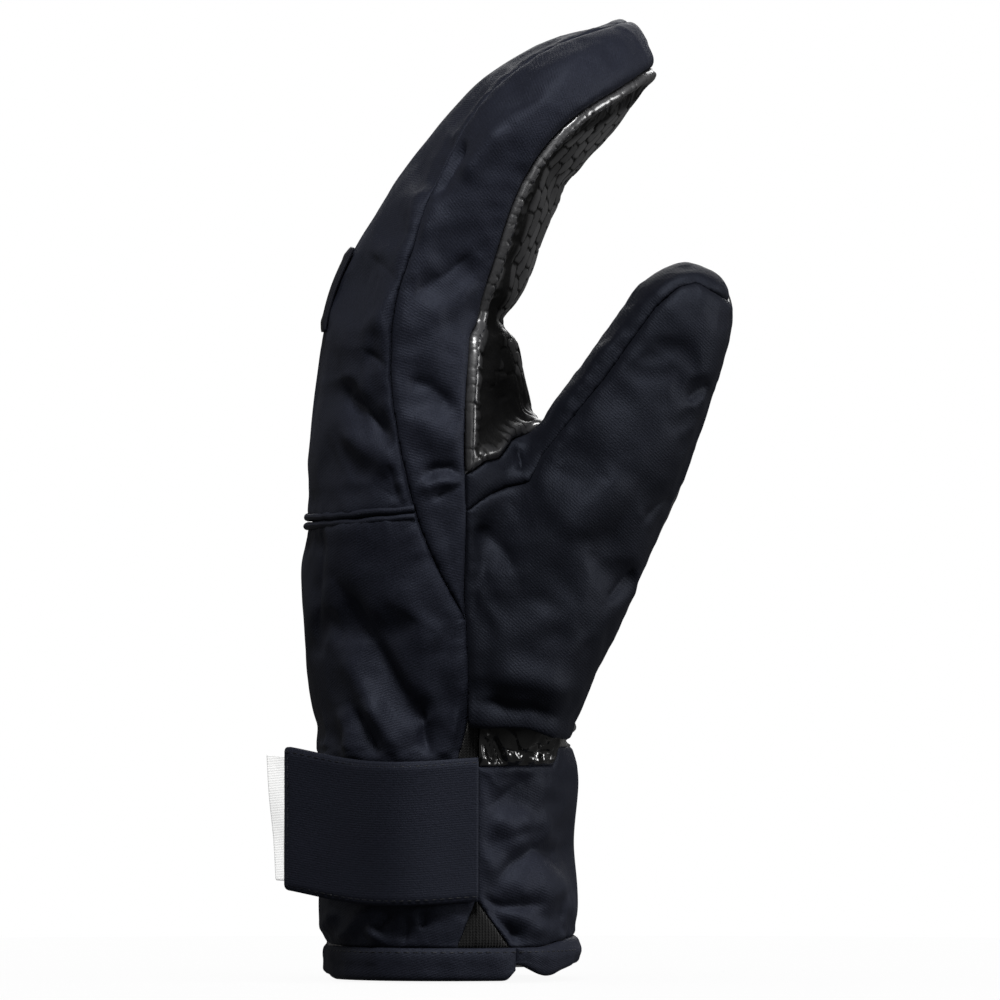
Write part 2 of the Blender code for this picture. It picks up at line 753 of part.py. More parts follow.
def inner_layers(glove):
    """The warm layers, each split where the fingers and the thumb bend."""
    hand = glove.hand
    half = SEAM_GAP / 2
    start, stop = CUFF_HEIGHT + half, glove.finger_joint - half
    past = glove.beyond_tip

    def cutter(name, low, high, low_share, high_share):
        return across_cutter(name + "_outline", hand, (low, high), (low_share, high_share))

    whole = cutter("hand_inside", start, stop, -MARGIN, 1 + MARGIN)
    fingers = cutter("fingers_inside", glove.finger_joint + half, past, -MARGIN, 1 + MARGIN)
    filling_start = glove.wrist_top + half
    gap = SEAM_GAP / 2 / PALM_THICKNESS
    back = cutter("filling_back", filling_start, stop, -MARGIN, 0.5 - gap)
    palm = cutter("filling_palm", filling_start, stop, 0.5 + gap, 1 + MARGIN)
    thumb = glove.thumb
    for cut, low in ((palm, filling_start), (whole, start)):
        around = [hand.across(low, 0.9), thumb.across(glove.thumb_joint, 0.5)]
        around += [thumb.across(thumb.length, 1.5), hand.across(low, 1 + 8 * MARGIN)]
        boolean(cut, "UNION", prism(cut.name + "_thumb", around))

    both = ("hand", "thumb")
    layers = (
        ("filling", INSULATION, (("filling_back", back), ("filling_palm", palm))),
        ("membrane", MEMBRANE, (("membrane_hand", whole),)),
        ("lining", LINING, (("lining_hand", whole),)),
    )
    depth = SHELL + LAYER_GAP
    for layer, thickness, in_hand in layers:
        walls = (depth, depth + thickness)
        for name, keep in in_hand:
            piece = glove.panel(name, layer, keep, both, *walls)
            boolean(piece, "DIFFERENCE", glove.above_thumb)
        glove.panel(layer + "_fingers", layer, fingers, ("hand",), *walls)
        glove.panel(layer + "_thumb", layer, glove.thumb_only, ("thumb",), *walls)
        depth += thickness + LAYER_GAP


# ---- Trim and strap -----------------------------------------------------------------------------


def piping(glove):
    """Two rolls side by side across the back, half sunk between the back panels."""
    hand = glove.hand
    middle = hand.at(PIPING_STATION)
    placed = [(hand.at(station), share) for station, share in BACK_SEAM]
    edge = hand.angle(smooth_between(placed, middle) - PIPING_INSET)
    for name, side in (("upper_piping", 1), ("lower_piping", -1)):
        s = middle + side * (PIPING_RADIUS + SEAM_GAP / 2)
        curve = bpy.data.curves.new(name, "CURVE")
        curve.dimensions = "3D"
        curve.bevel_depth = PIPING_RADIUS
        curve.bevel_resolution = 1
        curve.use_fill_caps = True
        line = curve.splines.new("POLY")
        line.points.add(PIPING_POINTS - 1)
        for index, point in enumerate(line.points):
            turn = edge + (2 * math.pi - 2 * edge) * index / (PIPING_POINTS - 1)
            point.co = (*hand.point(s, turn, PIPING_SUNK), 1.0)
        finish(add_object(name, curve), "shell")


def back_patch(glove):
    """A plain patch over the knuckles."""
    hand = glove.hand
    low, high = hand.at(PATCH_LOW), hand.at(PATCH_HIGH)
    spread = (PATCH_WIDTH / PALM_WIDTH) ** (HAND_SQUARENESS / 2)
    rows = []
    for step in range(PATCH_STEPS // 2):
        s = low + (high - low) * step / (PATCH_STEPS // 2 - 1)
        columns = range(-PATCH_STEPS // 2, PATCH_STEPS // 2 + 1)
        turns = [math.pi + math.asin(spread * column / (PATCH_STEPS / 2)) for column in columns]
        rows.append([hand.point(s, turn, -SEAM_GAP) for turn in turns])
    finish(sheet("back_patch", rows, PATCH_THICKNESS), "patch")


class StrapPath:
    """The strap's path in plan: round the cuff from its root, then straight on past the back."""

    def __init__(self, hand):
        self.places = []  # (distance, x, y), along the cuff's surface
        turn = 2 * math.pi - hand.angle(STRAP_ROOT_ACROSS)
        done = 0.0
        last = None
        while done < STRAP_LENGTH - STRAP_FREE_LENGTH:
            here = hand.point(STRAP_MIDDLE_HEIGHT, turn, 0.0)
            if last is not None:
                done += (here - last).length
            self.places.append((done, here.x, here.y))
            last = here
            turn -= STRAP_TURN
        _, x0, y0 = self.places[-2]
        _, x1, y1 = self.places[-1]
        self.leave = done
        self.direction = Vector((x1 - x0, y1 - y0)).normalized()

    def place(self, distance, lift):
        """(x, y) at a distance from the root, raised off the cuff by `lift`."""
        if distance >= self.leave:
            _, x, y = self.places[-1]
            along = self.direction
            x += along.x * (distance - self.leave)
            y += along.y * (distance - self.leave)
        else:
            index = next(i for i, item in enumerate(self.places) if item[0] > distance)
            low, x0, y0 = self.places[max(index - 1, 0)]
            high, x1, y1 = self.places[max(index, 1)]
            share = (distance - low) / (high - low)
            x, y = x0 + (x1 - x0) * share, y0 + (y1 - y0) * share
            along = Vector((x1 - x0, y1 - y0)).normalized()
        return x - along.y * lift, y + along.x * lift


def strap_rows(path, span, height, lift_at, steps):
    """Two rows of points, lower and upper, for a plate that follows the strap."""
    start, stop = span
    climb = math.tan(math.radians(STRAP_CLIMB))
    rows = []
    for side in (-1, 1):
        row = []
        for step in range(steps + 1):
            distance = start + (stop - start) * step / steps
            x, y = path.place(distance, lift_at(distance))
            row.append((x, y, STRAP_MIDDLE_HEIGHT + distance * climb + side * height / 2))
        rows.append(row[::-1])
    return rows


def strap(glove):
    """The strap, its hook tape and bare label, and the loop field on the cuff."""
    hand = glove.hand
    path = StrapPath(hand)
    loop_top = SEAM_GAP + SHELL / 4 + TAPE_THICKNESS
    tape_lift = loop_top + SEAM_GAP
    strap_lift = tape_lift + TAPE_THICKNESS + SEAM_GAP
    tape_start = STRAP_LENGTH - TAPE_MARGIN - TAPE_LENGTH

    def lift_at(distance):
        share = min(distance / (tape_start - TAPE_MARGIN), 1.0)
        return SEAM_GAP * 2 + (strap_lift - 2 * SEAM_GAP) * share * share * (3 - 2 * share)

    rows = strap_rows(path, (0.0, STRAP_LENGTH), STRAP_HEIGHT, lift_at, STRAP_STEPS)
    finish(sheet("strap", rows, STRAP_THICKNESS), "shell")
    span = (tape_start, STRAP_LENGTH - TAPE_MARGIN)
    height = STRAP_HEIGHT - 2 * TAPE_MARGIN
    rows = strap_rows(path, span, height, lambda distance: tape_lift, STRAP_STEPS // 2)
    finish(sheet("strap_hook_tape", rows, TAPE_THICKNESS), "hook")
    label_lift = strap_lift + (STRAP_THICKNESS - LABEL_THICKNESS) / 2
    start = STRAP_LENGTH + SEAM_GAP
    span = (start, start + LABEL_WIDTH)
    rows = strap_rows(path, span, LABEL_HEIGHT, lambda distance: label_lift, 2)
    finish(sheet("strap_label", rows, LABEL_THICKNESS), "label")

    edge = hand.angle(LOOP_ACROSS)
    low = STRAP_MIDDLE_HEIGHT - LOOP_HEIGHT / 2
    rows = []
    for height in (low, low + LOOP_HEIGHT):
        steps = range(LOOP_STEPS + 1)
        turns = [edge + (2 * math.pi - 2 * edge) * step / LOOP_STEPS for step in steps]
        rows.append([hand.point(height, turn, -SEAM_GAP - SHELL / 4) for turn in turns])
    finish(sheet("loop_field", rows, TAPE_THICKNESS), "hook")


# ---- Assembly -----------------------------------------------------------------------------------

FINGER_PIECES = (
    "back_panel_fingers",
    "side_strip_fingers",
    "palm_leather_fingers",
    "filling_fingers",
    "membrane_fingers",
    "lining_fingers",
)
THUMB_PIECES = (
    "thumb_outer_panel",
    "thumb_inner_strip",
    "thumb_leather",
    "filling_thumb",
    "membrane_thumb",
    "lining_thumb",
)
STRAP_PIECES = ("strap", "strap_hook_tape", "strap_label")


def joint_empty(name, place):
    empty = bpy.data.objects.new(name, None)
    bpy.context.scene.collection.objects.link(empty)
    empty.location = place
    return empty


def assemble(glove):
    """Hangs every piece on its joint's empty, and stands the whole on its base's middle."""
    root = joint_empty("glove", (0, 0, 0))
    hinge_x, hinge_z = glove.hand.across(glove.finger_joint, 1.0)
    fingers = joint_empty("finger_flex", (hinge_x, 0.0, hinge_z))
    hinge_x, hinge_z = glove.thumb.across(glove.thumb_joint, 0.0)
    thumb = joint_empty("thumb_flex", (hinge_x, THUMB_MIDDLE_Y, hinge_z))
    x, y = StrapPath(glove.hand).place(0.0, 2 * SEAM_GAP + STRAP_THICKNESS)
    strap_root = joint_empty("strap_peel", (x, y, STRAP_MIDDLE_HEIGHT))
    owners = {name: fingers for name in FINGER_PIECES}
    owners.update({name: thumb for name in THUMB_PIECES})
    owners.update({name: strap_root for name in STRAP_PIECES})
    for piece in list(bpy.context.scene.collection.objects):
        if piece.type == "EMPTY":
            continue
        owner = owners.get(piece.name, root)
        piece.parent = owner
        piece.matrix_parent_inverse = Matrix.Translation(-owner.location)
    for empty in (fingers, thumb, strap_root):
        empty.parent = root
    bpy.context.view_layer.update()
    graph = bpy.context.evaluated_depsgraph_get()
    low, high = Vector((9, 9, 9)), Vector((-9, -9, -9))
    for piece in bpy.context.scene.collection.objects:
        if piece.type == "EMPTY" or piece.hide_render:
            continue
        evaluated = piece.evaluated_get(graph)
        for corner in evaluated.to_mesh().vertices:
            place = piece.matrix_world @ corner.co
            low = Vector(map(min, low, place))
            high = Vector(map(max, high, place))
        evaluated.to_mesh_clear()
    root.location = (-(low.x + high.x) / 2, -(low.y + high.y) / 2, -low.z)


def shade(pieces):
    for piece in pieces:
        if piece.type == "MESH":
            piece.data.shade_smooth()


def main():
    for old in list(bpy.data.objects):
        bpy.data.objects.remove(old, do_unlink=True)
    glove = Glove()
    back_panels(glove)
    side_strips(glove)
    palm_leather(glove)
    thumb_base(glove)
    thumb_pieces(glove)
    wrist(glove)
    cuff(glove)
    inner_layers(glove)
    piping(glove)
    back_patch(glove)
    strap(glove)
    assemble(glove)
    shade(bpy.context.scene.collection.objects)


main()
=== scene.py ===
"""The looks of an insulated ski mitten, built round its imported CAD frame.

+Z runs from the cuff to the fingertips, +X from the back of the hand to the palm, and -Y is the
thumb's side. One fine skin follows the hand's and the thumb's tubes. It is padded out, cut along
every seam into its fabric and leather panels, and each panel gets its rolled seam edges, folds,
gathers and grain. Strap, trim, stitches, lining and stage are built round it.
"""

import math

import bmesh
import bpy
import numpy as np
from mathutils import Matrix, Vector
from mathutils.bvhtree import BVHTree
from mathutils.kdtree import KDTree


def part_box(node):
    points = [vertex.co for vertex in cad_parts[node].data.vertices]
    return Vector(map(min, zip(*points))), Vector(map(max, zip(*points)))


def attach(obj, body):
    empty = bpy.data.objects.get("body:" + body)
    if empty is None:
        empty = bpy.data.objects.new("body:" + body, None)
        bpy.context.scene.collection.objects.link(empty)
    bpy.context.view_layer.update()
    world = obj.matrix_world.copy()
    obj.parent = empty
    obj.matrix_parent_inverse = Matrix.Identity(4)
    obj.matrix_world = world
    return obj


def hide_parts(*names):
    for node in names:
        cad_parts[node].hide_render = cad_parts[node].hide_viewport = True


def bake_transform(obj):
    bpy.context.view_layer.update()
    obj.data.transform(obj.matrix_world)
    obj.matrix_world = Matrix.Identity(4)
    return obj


bl_info = {
    "name": "Ski Mitten",
    "version": (1, 0, 0),
    "blender": (4, 5, 0),
    "location": "View3D > Sidebar > Mitten",
    "description": "Builds a padded ski mitten with leather palm, strap and trim",
    "category": "Object",
}

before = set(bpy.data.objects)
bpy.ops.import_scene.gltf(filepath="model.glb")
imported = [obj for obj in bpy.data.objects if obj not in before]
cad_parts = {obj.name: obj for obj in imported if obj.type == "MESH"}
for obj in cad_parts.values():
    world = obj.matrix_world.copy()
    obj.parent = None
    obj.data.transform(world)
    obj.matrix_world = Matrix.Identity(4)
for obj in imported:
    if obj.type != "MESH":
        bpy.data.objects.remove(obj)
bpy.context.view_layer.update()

# ---- The two tubes, in metres and degrees ------------------------------------------------------

CUFF_THICKNESS = 0.068
HEM_PROUD = 0.0004
# The runs of each spine, as (length, bend), and its sizes, as (station, size). Station 2.5 is
# half way along the third run.
HAND_RUNS = ((0.066, 0), (0.020, -5), (0.085, 0), (0.021, 36), (0.031, 0), (0.035, 29), (0.020, 0))
HAND_THICKNESS = (
    (0, CUFF_THICKNESS), (1, 0.070), (2.24, 0.073), (2.74, 0.062),
    (3.57, 0.0455), (4.5, 0.0435), (6, 0.031), (7, 0.017),
)
HAND_WIDTH = ((0, 0.090), (1, 0.090), (2.6, 0.104), (4.5, 0.100), (7, 0.100))
HAND_SQUARENESS = 2.4
THUMB_RUNS = ((0.059, 0), (0.017, 7), (0.064, 0))
THUMB_THICK = 0.042
THUMB_THICKNESS = ((0, THUMB_THICK), (0.6, THUMB_THICK), (2.06, THUMB_THICK), (3, 0.024))
THUMB_WIDTH = ((0, 0.050), (2, 0.046), (3, 0.037))
THUMB_SQUARENESS = 2.3
THUMB_START_HEIGHT = 0.064
THUMB_BACK_ACROSS = 0.39
THUMB_LEAN = 20.5
THUMB_MIDDLE_Y = -0.030
THUMB_SIDE_SEAM_Y = -0.0288

# ---- Seams -------------------------------------------------------------------------------------

HEM_HEIGHT = 0.0095
CUFF_HEIGHT = 0.058
WRIST_TOP = 0.0695
SLIT_ACROSS = 0.775
STRAP_ROOT_ACROSS = 0.617
GUSSET_TOP = 0.0225
GUSSET_LEFT = 0.54
GUSSET_RIGHT = 0.755
KNIT_BACK_EDGE = 0.543
KNIT_PALM_EDGE = 0.622
PIPING_STATION = 2.476
FINGER_JOINT = 3.905
THUMB_JOINT = 2.09
# Seams down the hand, as (station, share of the way from the back to the palm).
BACK_SEAM = (
    (2.13, 0.59), (2.35, 0.485), (2.56, 0.42), (2.89, 0.365), (3.20, 0.375),
    (3.80, 0.345), (4.45, 0.24), (5.10, 0.16), (5.60, 0.10), (7.00, 0.09),
)
PALM_SEAM = (
    (1.00, 0.575), (2.13, 0.59), (2.39, 0.63), (2.74, 0.69), (3.00, 0.79),
    (3.57, 0.86), (4.20, 0.82), (5.00, 0.73), (6.00, 0.74), (7.00, 0.88),
)
# Lines on the thumb's side, as (x, z) in millimetres.
THUMB_EDGE = (
    (-8, 136.8), (-5.6, 138.2), (-3.8, 139.6), (0.2, 140.7), (2.3, 143.4), (4, 146.1),
    (6.9, 147.7), (11.2, 150.7), (16, 163), (26, 195), (45, 222), (80, 250),
)
THUMB_SEAM = (
    (-8.2, 126.8), (-3.3, 130.3), (1.8, 133), (7.2, 134.6), (8.3, 137.3), (10.4, 141.7),
    (13.9, 146), (20.4, 154.1), (26.9, 161.9), (33.7, 170.8), (42, 181.1), (48.8, 187),
    (53.7, 188.3), (62.7, 182.9),
)

VOXEL = 0.0026
LINING_VOXEL = 0.0016
FAR = 1e9
TINY = 1e-9

# Where the body swells or gives way, in millimetres: the middle (x, z), the reach, and the shift.
SWELLS = (
    ((36, 254), 11, (0.6, 1.9)),
    ((44, 266), 10, (0.8, 1.2)),
    ((-43, 170), 16, (-0.8, 0.0)),
    ((-49, 108), 10, (-0.3, 0.0)),
    ((44, 186), 18, (-1.3, 0.0)),
    ((1, 178), 13, (1.3, 0.0)),
    ((27, 80), 11, (-2.4, 0.0)),
    ((21, 38), 13, (-1.7, 0.0)),
    ((20, 5), 8, (1.7, 0.0)),
    ((-48, 10), 12, (1.2, 0.0)),
    ((40, 100), 22, (-0.7, 0.0)),
)


# ---- Small tools -------------------------------------------------------------------------------


def smooth(low, high, value):
    """0 below low, 1 above high, and a smooth rise between them."""
    t = np.clip((value - low) / (high - low), 0.0, 1.0)
    return t * t * (3 - 2 * t)


def bell(value, width):
    """1 at zero, and less the further out, over about `width`."""
    return np.exp(-((value / width) ** 2))


def smooth_between(stations, where):
    """A smooth value through (place, value) pairs, held flat past both ends."""
    places = np.array([place for place, _ in stations], float)
    values = np.array([value for _, value in stations], float)
    slopes = np.empty_like(values)
    slopes[1:-1] = (values[2:] - values[:-2]) / (places[2:] - places[:-2])
    slopes[0] = (values[1] - values[0]) / (places[1] - places[0])
    slopes[-1] = (values[-1] - values[-2]) / (places[-1] - places[-2])
    where = np.clip(np.asarray(where, float), places[0], places[-1])
    upper = np.clip(np.searchsorted(places, where), 1, len(places) - 1)
    low, high = places[upper - 1], places[upper]
    span = high - low
    t = (where - low) / span
    rise = slopes[upper - 1] * span * t * (1 - t) ** 2 - slopes[upper] * span * t * t * (1 - t)
    return values[upper - 1] + (values[upper] - values[upper - 1]) * t * t * (3 - 2 * t) + rise


def drift(points, size, seed=0):
    """Smooth seeded noise from -1 to 1, which changes over about `size` metres."""
    spots = np.asarray(points, float) / size + 137.3 + 17.17 * seed
    whole = np.floor(spots)
    part = spots - whole
    ease = part * part * part * (part * (part * 6 - 15) + 10)
    total = np.zeros(len(spots))
    for corner in range(8):
        step = np.array([(corner >> axis) & 1 for axis in range(3)], float)
        mixed = ((whole + step) * (12.9898, 78.233, 37.719)).sum(1) + seed * 4.1
        hashed = np.modf(np.abs(np.sin(mixed) * 43758.5453))[0] * 2 - 1
        total += hashed * np.prod(np.where(step > 0, ease, 1 - ease), axis=1)
    return total


def unit(vectors):
    length = np.linalg.norm(vectors, axis=-1, keepdims=True)
    return vectors / np.maximum(length, 1e-12)


def nearest_on(line, x, z, free_ends=False):
    """How near a line of (x, z) points, given in millimetres, passes to each point.

    Gives the distance, the share of the way along the line, and 1 on its right or -1 on its left.
    Free ends run on straight past the line's last points.
    """
    line = np.array(line, float) / 1000
    best = np.full(len(x), FAR)
    share, right = np.zeros(len(x)), np.zeros(len(x))
    parts = len(line) - 1
    for index, (a, d) in enumerate(zip(line, np.diff(line, axis=0))):
        low = -1e3 if free_ends and index == 0 else 0.0
        high = 1e3 if free_ends and index == parts - 1 else 1.0
        t = np.clip(((x - a[0]) * d[0] + (z - a[1]) * d[1]) / (d @ d), low, high)
        away = np.hypot(x - a[0] - t * d[0], z - a[1] - t * d[1])
        nearer = away < best - 1e-12
        best = np.where(nearer, away, best)
        share = np.where(nearer, (index + t) / parts, share)
        side = np.sign((x - a[0]) * d[1] - (z - a[1]) * d[0])
        right = np.where(nearer, side, right)
    return best, share, right


def side_of_line(line, x, z):
    """Signed distance from a line of (x, z) points: positive to the right of its direction."""
    away, _, right = nearest_on(line, x, z, free_ends=True)
    return right * away


def run_length(points):
    """The running length along a line of points."""
    return np.concatenate([[0], np.cumsum(np.linalg.norm(np.diff(points, axis=0), axis=1))])


def mesh_object(name, points, faces, edges=()):
    mesh = bpy.data.meshes.new(name)
    mesh.from_pydata([tuple(point) for point in points], edges, [tuple(face) for face in faces])
    mesh.shade_smooth()
    piece = bpy.data.objects.new(name, mesh)
    bpy.context.scene.collection.objects.link(piece)
    return piece


def vectors(items, name):
    flat = np.empty(len(items) * 3, np.float32)
    items.foreach_get(name, flat)
    return flat.reshape(-1, 3).astype(float)


def places(mesh):
    return vectors(mesh.vertices, "co")


def normals(mesh):
    return vectors(mesh.vertex_normals, "vector")


def place_all(mesh, points):
    mesh.vertices.foreach_set("co", np.asarray(points, np.float32).ravel())
    mesh.update()


def edges_of(mesh):
    return np.array([edge.vertices[:] for edge in mesh.edges])


def faces_of(mesh):
    return [tuple(face.vertices) for face in mesh.polygons]


def evaluated_mesh(piece):
    """The piece's mesh with its modifiers applied."""
    bpy.context.view_layer.update()
    graph = bpy.context.evaluated_depsgraph_get()
    return bpy.data.meshes.new_from_object(piece.evaluated_get(graph), depsgraph=graph)


def apply_modifiers(piece):
    mesh = evaluated_mesh(piece)
    piece.modifiers.clear()
    old, piece.data = piece.data, mesh
    bpy.data.meshes.remove(old)
    return piece


def discard(piece):
    mesh = piece.data
    bpy.data.objects.remove(piece)
    bpy.data.meshes.remove(mesh)


def subdivided(piece):
    crown = piece.modifiers.new("Subdivision", "SUBSURF")
    crown.levels = crown.render_levels = 1
    crown.boundary_smooth = "PRESERVE_CORNERS"
    return apply_modifiers(piece)


def voxelled(name, parts, size):
    """One skin of even quads over several closed (points, faces) bodies."""
    points, faces = [], []
    for more, loops in parts:
        faces += [tuple(corner + len(points) for corner in loop) for loop in loops]
        points += list(more)
    piece = mesh_object(name, points, faces)
    voxels = piece.modifiers.new("Voxels", "REMESH")
    voxels.mode, voxels.voxel_size, voxels.adaptivity = "VOXEL", size, 0.0
    return apply_modifiers(piece)


def thicken(piece, thickness):
    """Gives cloth its thickness, inwards from its outer face."""
    wall = piece.modifiers.new("Cloth thickness", "SOLIDIFY")
    wall.thickness = thickness
    wall.offset = -1.0
    wall.use_even_offset = False


def turned_outward(piece):
    """The piece with every face pointing outwards."""
    shape = bmesh.new()
    shape.from_mesh(piece.data)
    bmesh.ops.recalc_face_normals(shape, faces=shape.faces[:])
    shape.to_mesh(piece.data)
    shape.free()
    return piece


def ring_faces(rings, columns):
    """Quads between closed rings of points that follow one another."""
    faces = []
    for a in range(0, (rings - 1) * columns, columns):
        for column in range(columns):
            after = (column + 1) % columns
            faces.append((a + column, a + after, a + columns + after, a + columns + column))
    return faces


def plate(name, inner, outer):
    """A closed plate between two grids of points."""
    rows, columns = inner.shape[:2]
    count = rows * columns
    faces = []
    for row in range(rows - 1):
        for column in range(columns - 1):
            a = row * columns + column
            faces.append((a, a + 1, a + columns + 1, a + columns))
            faces.append(tuple(count + c for c in (a, a + columns, a + columns + 1, a + 1)))
    ring = list(range(columns - 1))
    ring += [row * columns + columns - 1 for row in range(rows - 1)]
    ring += [(rows - 1) * columns + column for column in range(columns - 1, 0, -1)]
    ring += [row * columns for row in range(rows - 1, 0, -1)]
    for a, b in zip(ring, ring[1:] + ring[:1]):
        faces.append((b, a, a + count, b + count))
    points = np.concatenate([inner.reshape(-1, 3), outer.reshape(-1, 3)])
    return turned_outward(mesh_object(name, points, faces))


def put_attribute(mesh, name, values):
    layer = mesh.attributes.new(name, "FLOAT", "POINT")
    layer.data.foreach_set("value", np.asarray(values, np.float32))


def take_attribute(mesh, name):
    """The values of an attribute, which leaves the mesh."""
    layer = mesh.attributes[name]
    values = np.empty(len(mesh.vertices), np.float32)
    layer.data.foreach_get("value", values)
    mesh.attributes.remove(layer)
    return values.astype(float)


def put_uv(mesh, across, along):
    """A UV map in metres, from one pair of numbers a vertex."""
    layer = mesh.uv_layers.new(name="Weave")
    corner = np.empty(len(mesh.loops), np.int32)
    mesh.loops.foreach_get("vertex_index", corner)
    layer.data.foreach_set("uv", np.stack([across, along], 1)[corner].astype(np.float32).ravel())


def surface_tree(mesh):
    return BVHTree.FromPolygons([v.co for v in mesh.vertices], faces_of(mesh))


# ---- The tubes ---------------------------------------------------------------------------------


class Tube:
    """Flattened round sections strung along a spine that bends in a plane of constant Y."""

    STEP = 0.001
    BELOW = 0.030
    BEYOND = 0.040
    SOFT_END = 0.018
    ROUNDNESS = 2.4
    # A tube ends this much deeper inside than its sides are.
    TIP_DEPTH = 1.6

    def __init__(self, start, middle_y, lean, runs, thickness, width, squareness):
        self.middle_y = middle_y
        self.squareness = squareness
        self.runs = runs
        self.length = sum(length for length, _ in runs)
        self.rounding = self.edge_rounding = self.SOFT_END
        self.base_rounding = None
        self.s = np.arange(-self.BELOW, self.length + self.BEYOND, self.STEP)
        self.lean = np.radians(lean) + np.radians(self._turned(self.s))
        middles = np.radians(lean) + np.radians(self._turned(self.s[:-1] + self.STEP / 2))
        self.x = np.concatenate([[0], np.cumsum(np.sin(middles) * self.STEP)])
        self.z = np.concatenate([[0], np.cumsum(np.cos(middles) * self.STEP)])
        self.x += start[0] - np.interp(0, self.s, self.x)
        self.z += start[1] - np.interp(0, self.s, self.z)
        self.thick_at = [(self.at(station), size) for station, size in thickness]
        self.wide_at = [(self.at(station), size) for station, size in width]

    def _turned(self, s):
        ends = np.cumsum([0] + [length for length, _ in self.runs])
        return np.interp(s, ends, np.cumsum([0] + [bend for _, bend in self.runs]))

    def at(self, station):
        whole = min(int(station), len(self.runs) - 1)
        done = sum(length for length, _ in self.runs[:whole])
        return done + (station - whole) * self.runs[whole][0]

    def spine(self, s):
        return tuple(np.interp(s, self.s, table) for table in (self.x, self.z, self.lean))

    def thickness(self, s):
        return smooth_between(self.thick_at, s)

    def across(self, s, share):
        x, z, lean = self.spine(s)
        offset = (np.asarray(share) - 0.5) * self.thickness(s)
        return x + offset * np.cos(lean), z - offset * np.sin(lean)

    def round_off(self, share):
        left = 1 - np.clip(share, 0.0, 1.0)
        return (1 - left**self.ROUNDNESS) ** (1 / self.ROUNDNESS)

    def half_sizes(self, s, depth=0.0):
        left = self.length - self.TIP_DEPTH * depth - s
        thick = (self.thickness(s) / 2 - depth) * self.round_off(left / self.edge_rounding)
        wide = smooth_between(self.wide_at, s) / 2 - depth
        wide = wide * self.round_off(left / self.rounding)
        if self.base_rounding:
            base = self.round_off((s - depth) / self.base_rounding)
            thick, wide = thick * base, wide * base
        return thick, wide

    def point(self, s, angle, depth=0.0):
        """Points on the surface at this depth: angle 0 faces the palm and pi the back."""
        s, angle = np.broadcast_arrays(np.asarray(s, float), np.asarray(angle, float))
        x, z, lean = self.spine(s)
        thick, wide = self.half_sizes(s, depth)
        power = 2 / self.squareness
        cosine, sine = np.cos(angle), np.sin(angle)
        offset = thick * np.sign(cosine) * np.abs(cosine) ** power
        y = self.middle_y + wide * np.sign(sine) * np.abs(sine) ** power
        return np.stack([x + offset * np.cos(lean), y, z - offset * np.sin(lean)], -1)

    def angle(self, share):
        side = np.clip(2 * np.asarray(share, float) - 1, -1, 1)
        cosine = np.sign(side) * np.abs(side) ** (self.squareness / 2)
        return np.arctan2((1 - np.abs(side) ** self.squareness) ** 0.5, cosine)

    def find(self, points):
        """(distance along the spine, offset towards the palm) of points."""
        flat = np.stack([self.x, self.z], 1)
        spots = points[:, [0, 2]]
        nearest = np.empty(len(points), int)
        for start in range(0, len(points), 20000):
            part = spots[start : start + 20000]
            gaps = (part**2).sum(1)[:, None] - 2 * part @ flat.T + (flat**2).sum(1)
            nearest[start : start + 20000] = gaps.argmin(1)
        away = spots - flat[nearest]
        lean = self.lean[nearest]
        along = away[:, 0] * np.sin(lean) + away[:, 1] * np.cos(lean)
        s = self.s[nearest] + np.clip(along, -0.02, 0.02)
        x, z, lean = self.spine(s)
        offset = (spots[:, 0] - x) * np.cos(lean) - (spots[:, 1] - z) * np.sin(lean)
        return s, offset

    def level(self, points):
        """About how far outside the surface points are: negative inside."""
        s, offset = self.find(points)
        thick, wide = (np.maximum(size, 2e-4) for size in self.half_sizes(s))
        power = self.squareness
        aside = np.abs((points[:, 1] - self.middle_y) / wide)
        reach = np.abs(offset / thick) ** power + aside**power
        return (reach ** (1 / power) - 1) * np.minimum(thick, wide)

    def share(self, points):
        s, offset = self.find(points)
        return s, 0.5 + offset / self.thickness(s)

    def closed_mesh(self, low, depth, columns=72, step=0.003):
        """Rings of points round the tube from `low` to its end, both ends closed."""
        end = self.length - self.TIP_DEPTH * depth(self.length)
        last = self.length - self.rounding
        even = np.linspace(low, last, max(2, int((last - low) / step)))
        near_end = last + (end - last) * np.sin(np.linspace(0, math.pi / 2, 16))[1:]
        rings = np.concatenate([even, near_end[:-1]])
        turns = np.linspace(0, 2 * math.pi, columns, endpoint=False)
        points = self.point(rings[:, None], turns, depth(rings)[:, None]).reshape(-1, 3)
        faces = ring_faces(len(rings), columns)
        base = len(points)
        top = base - columns
        for column in range(columns):
            after = (column + 1) % columns
            faces += [(after, column, base), (top + column, top + after, base + 1)]
        poles = [self.spine(rings[0]), self.spine(end)]
        return np.concatenate([points, [(x, self.middle_y, z) for x, z, _ in poles]]), faces


def frame_tubes():
    low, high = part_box("cuff_back_hem")
    start = (low.x + CUFF_THICKNESS / 2 + HEM_PROUD, 0.0)
    middle_y = (low.y + high.y) / 2
    shape = (HAND_RUNS, HAND_THICKNESS, HAND_WIDTH, HAND_SQUARENESS)
    hand = Tube(start, middle_y, 0.0, *shape)
    hand.rounding, hand.edge_rounding = 0.048, 0.007
    half = THUMB_THICK / 2 / float(hand.thickness(THUMB_START_HEIGHT))
    x, _ = hand.across(THUMB_START_HEIGHT, THUMB_BACK_ACROSS + half)
    shape = (THUMB_RUNS, THUMB_THICKNESS, THUMB_WIDTH, THUMB_SQUARENESS)
    start = (float(x), THUMB_START_HEIGHT)
    thumb = Tube(start, middle_y + THUMB_MIDDLE_Y, THUMB_LEAN, *shape)
    thumb.base_rounding = 0.030
    return hand, thumb


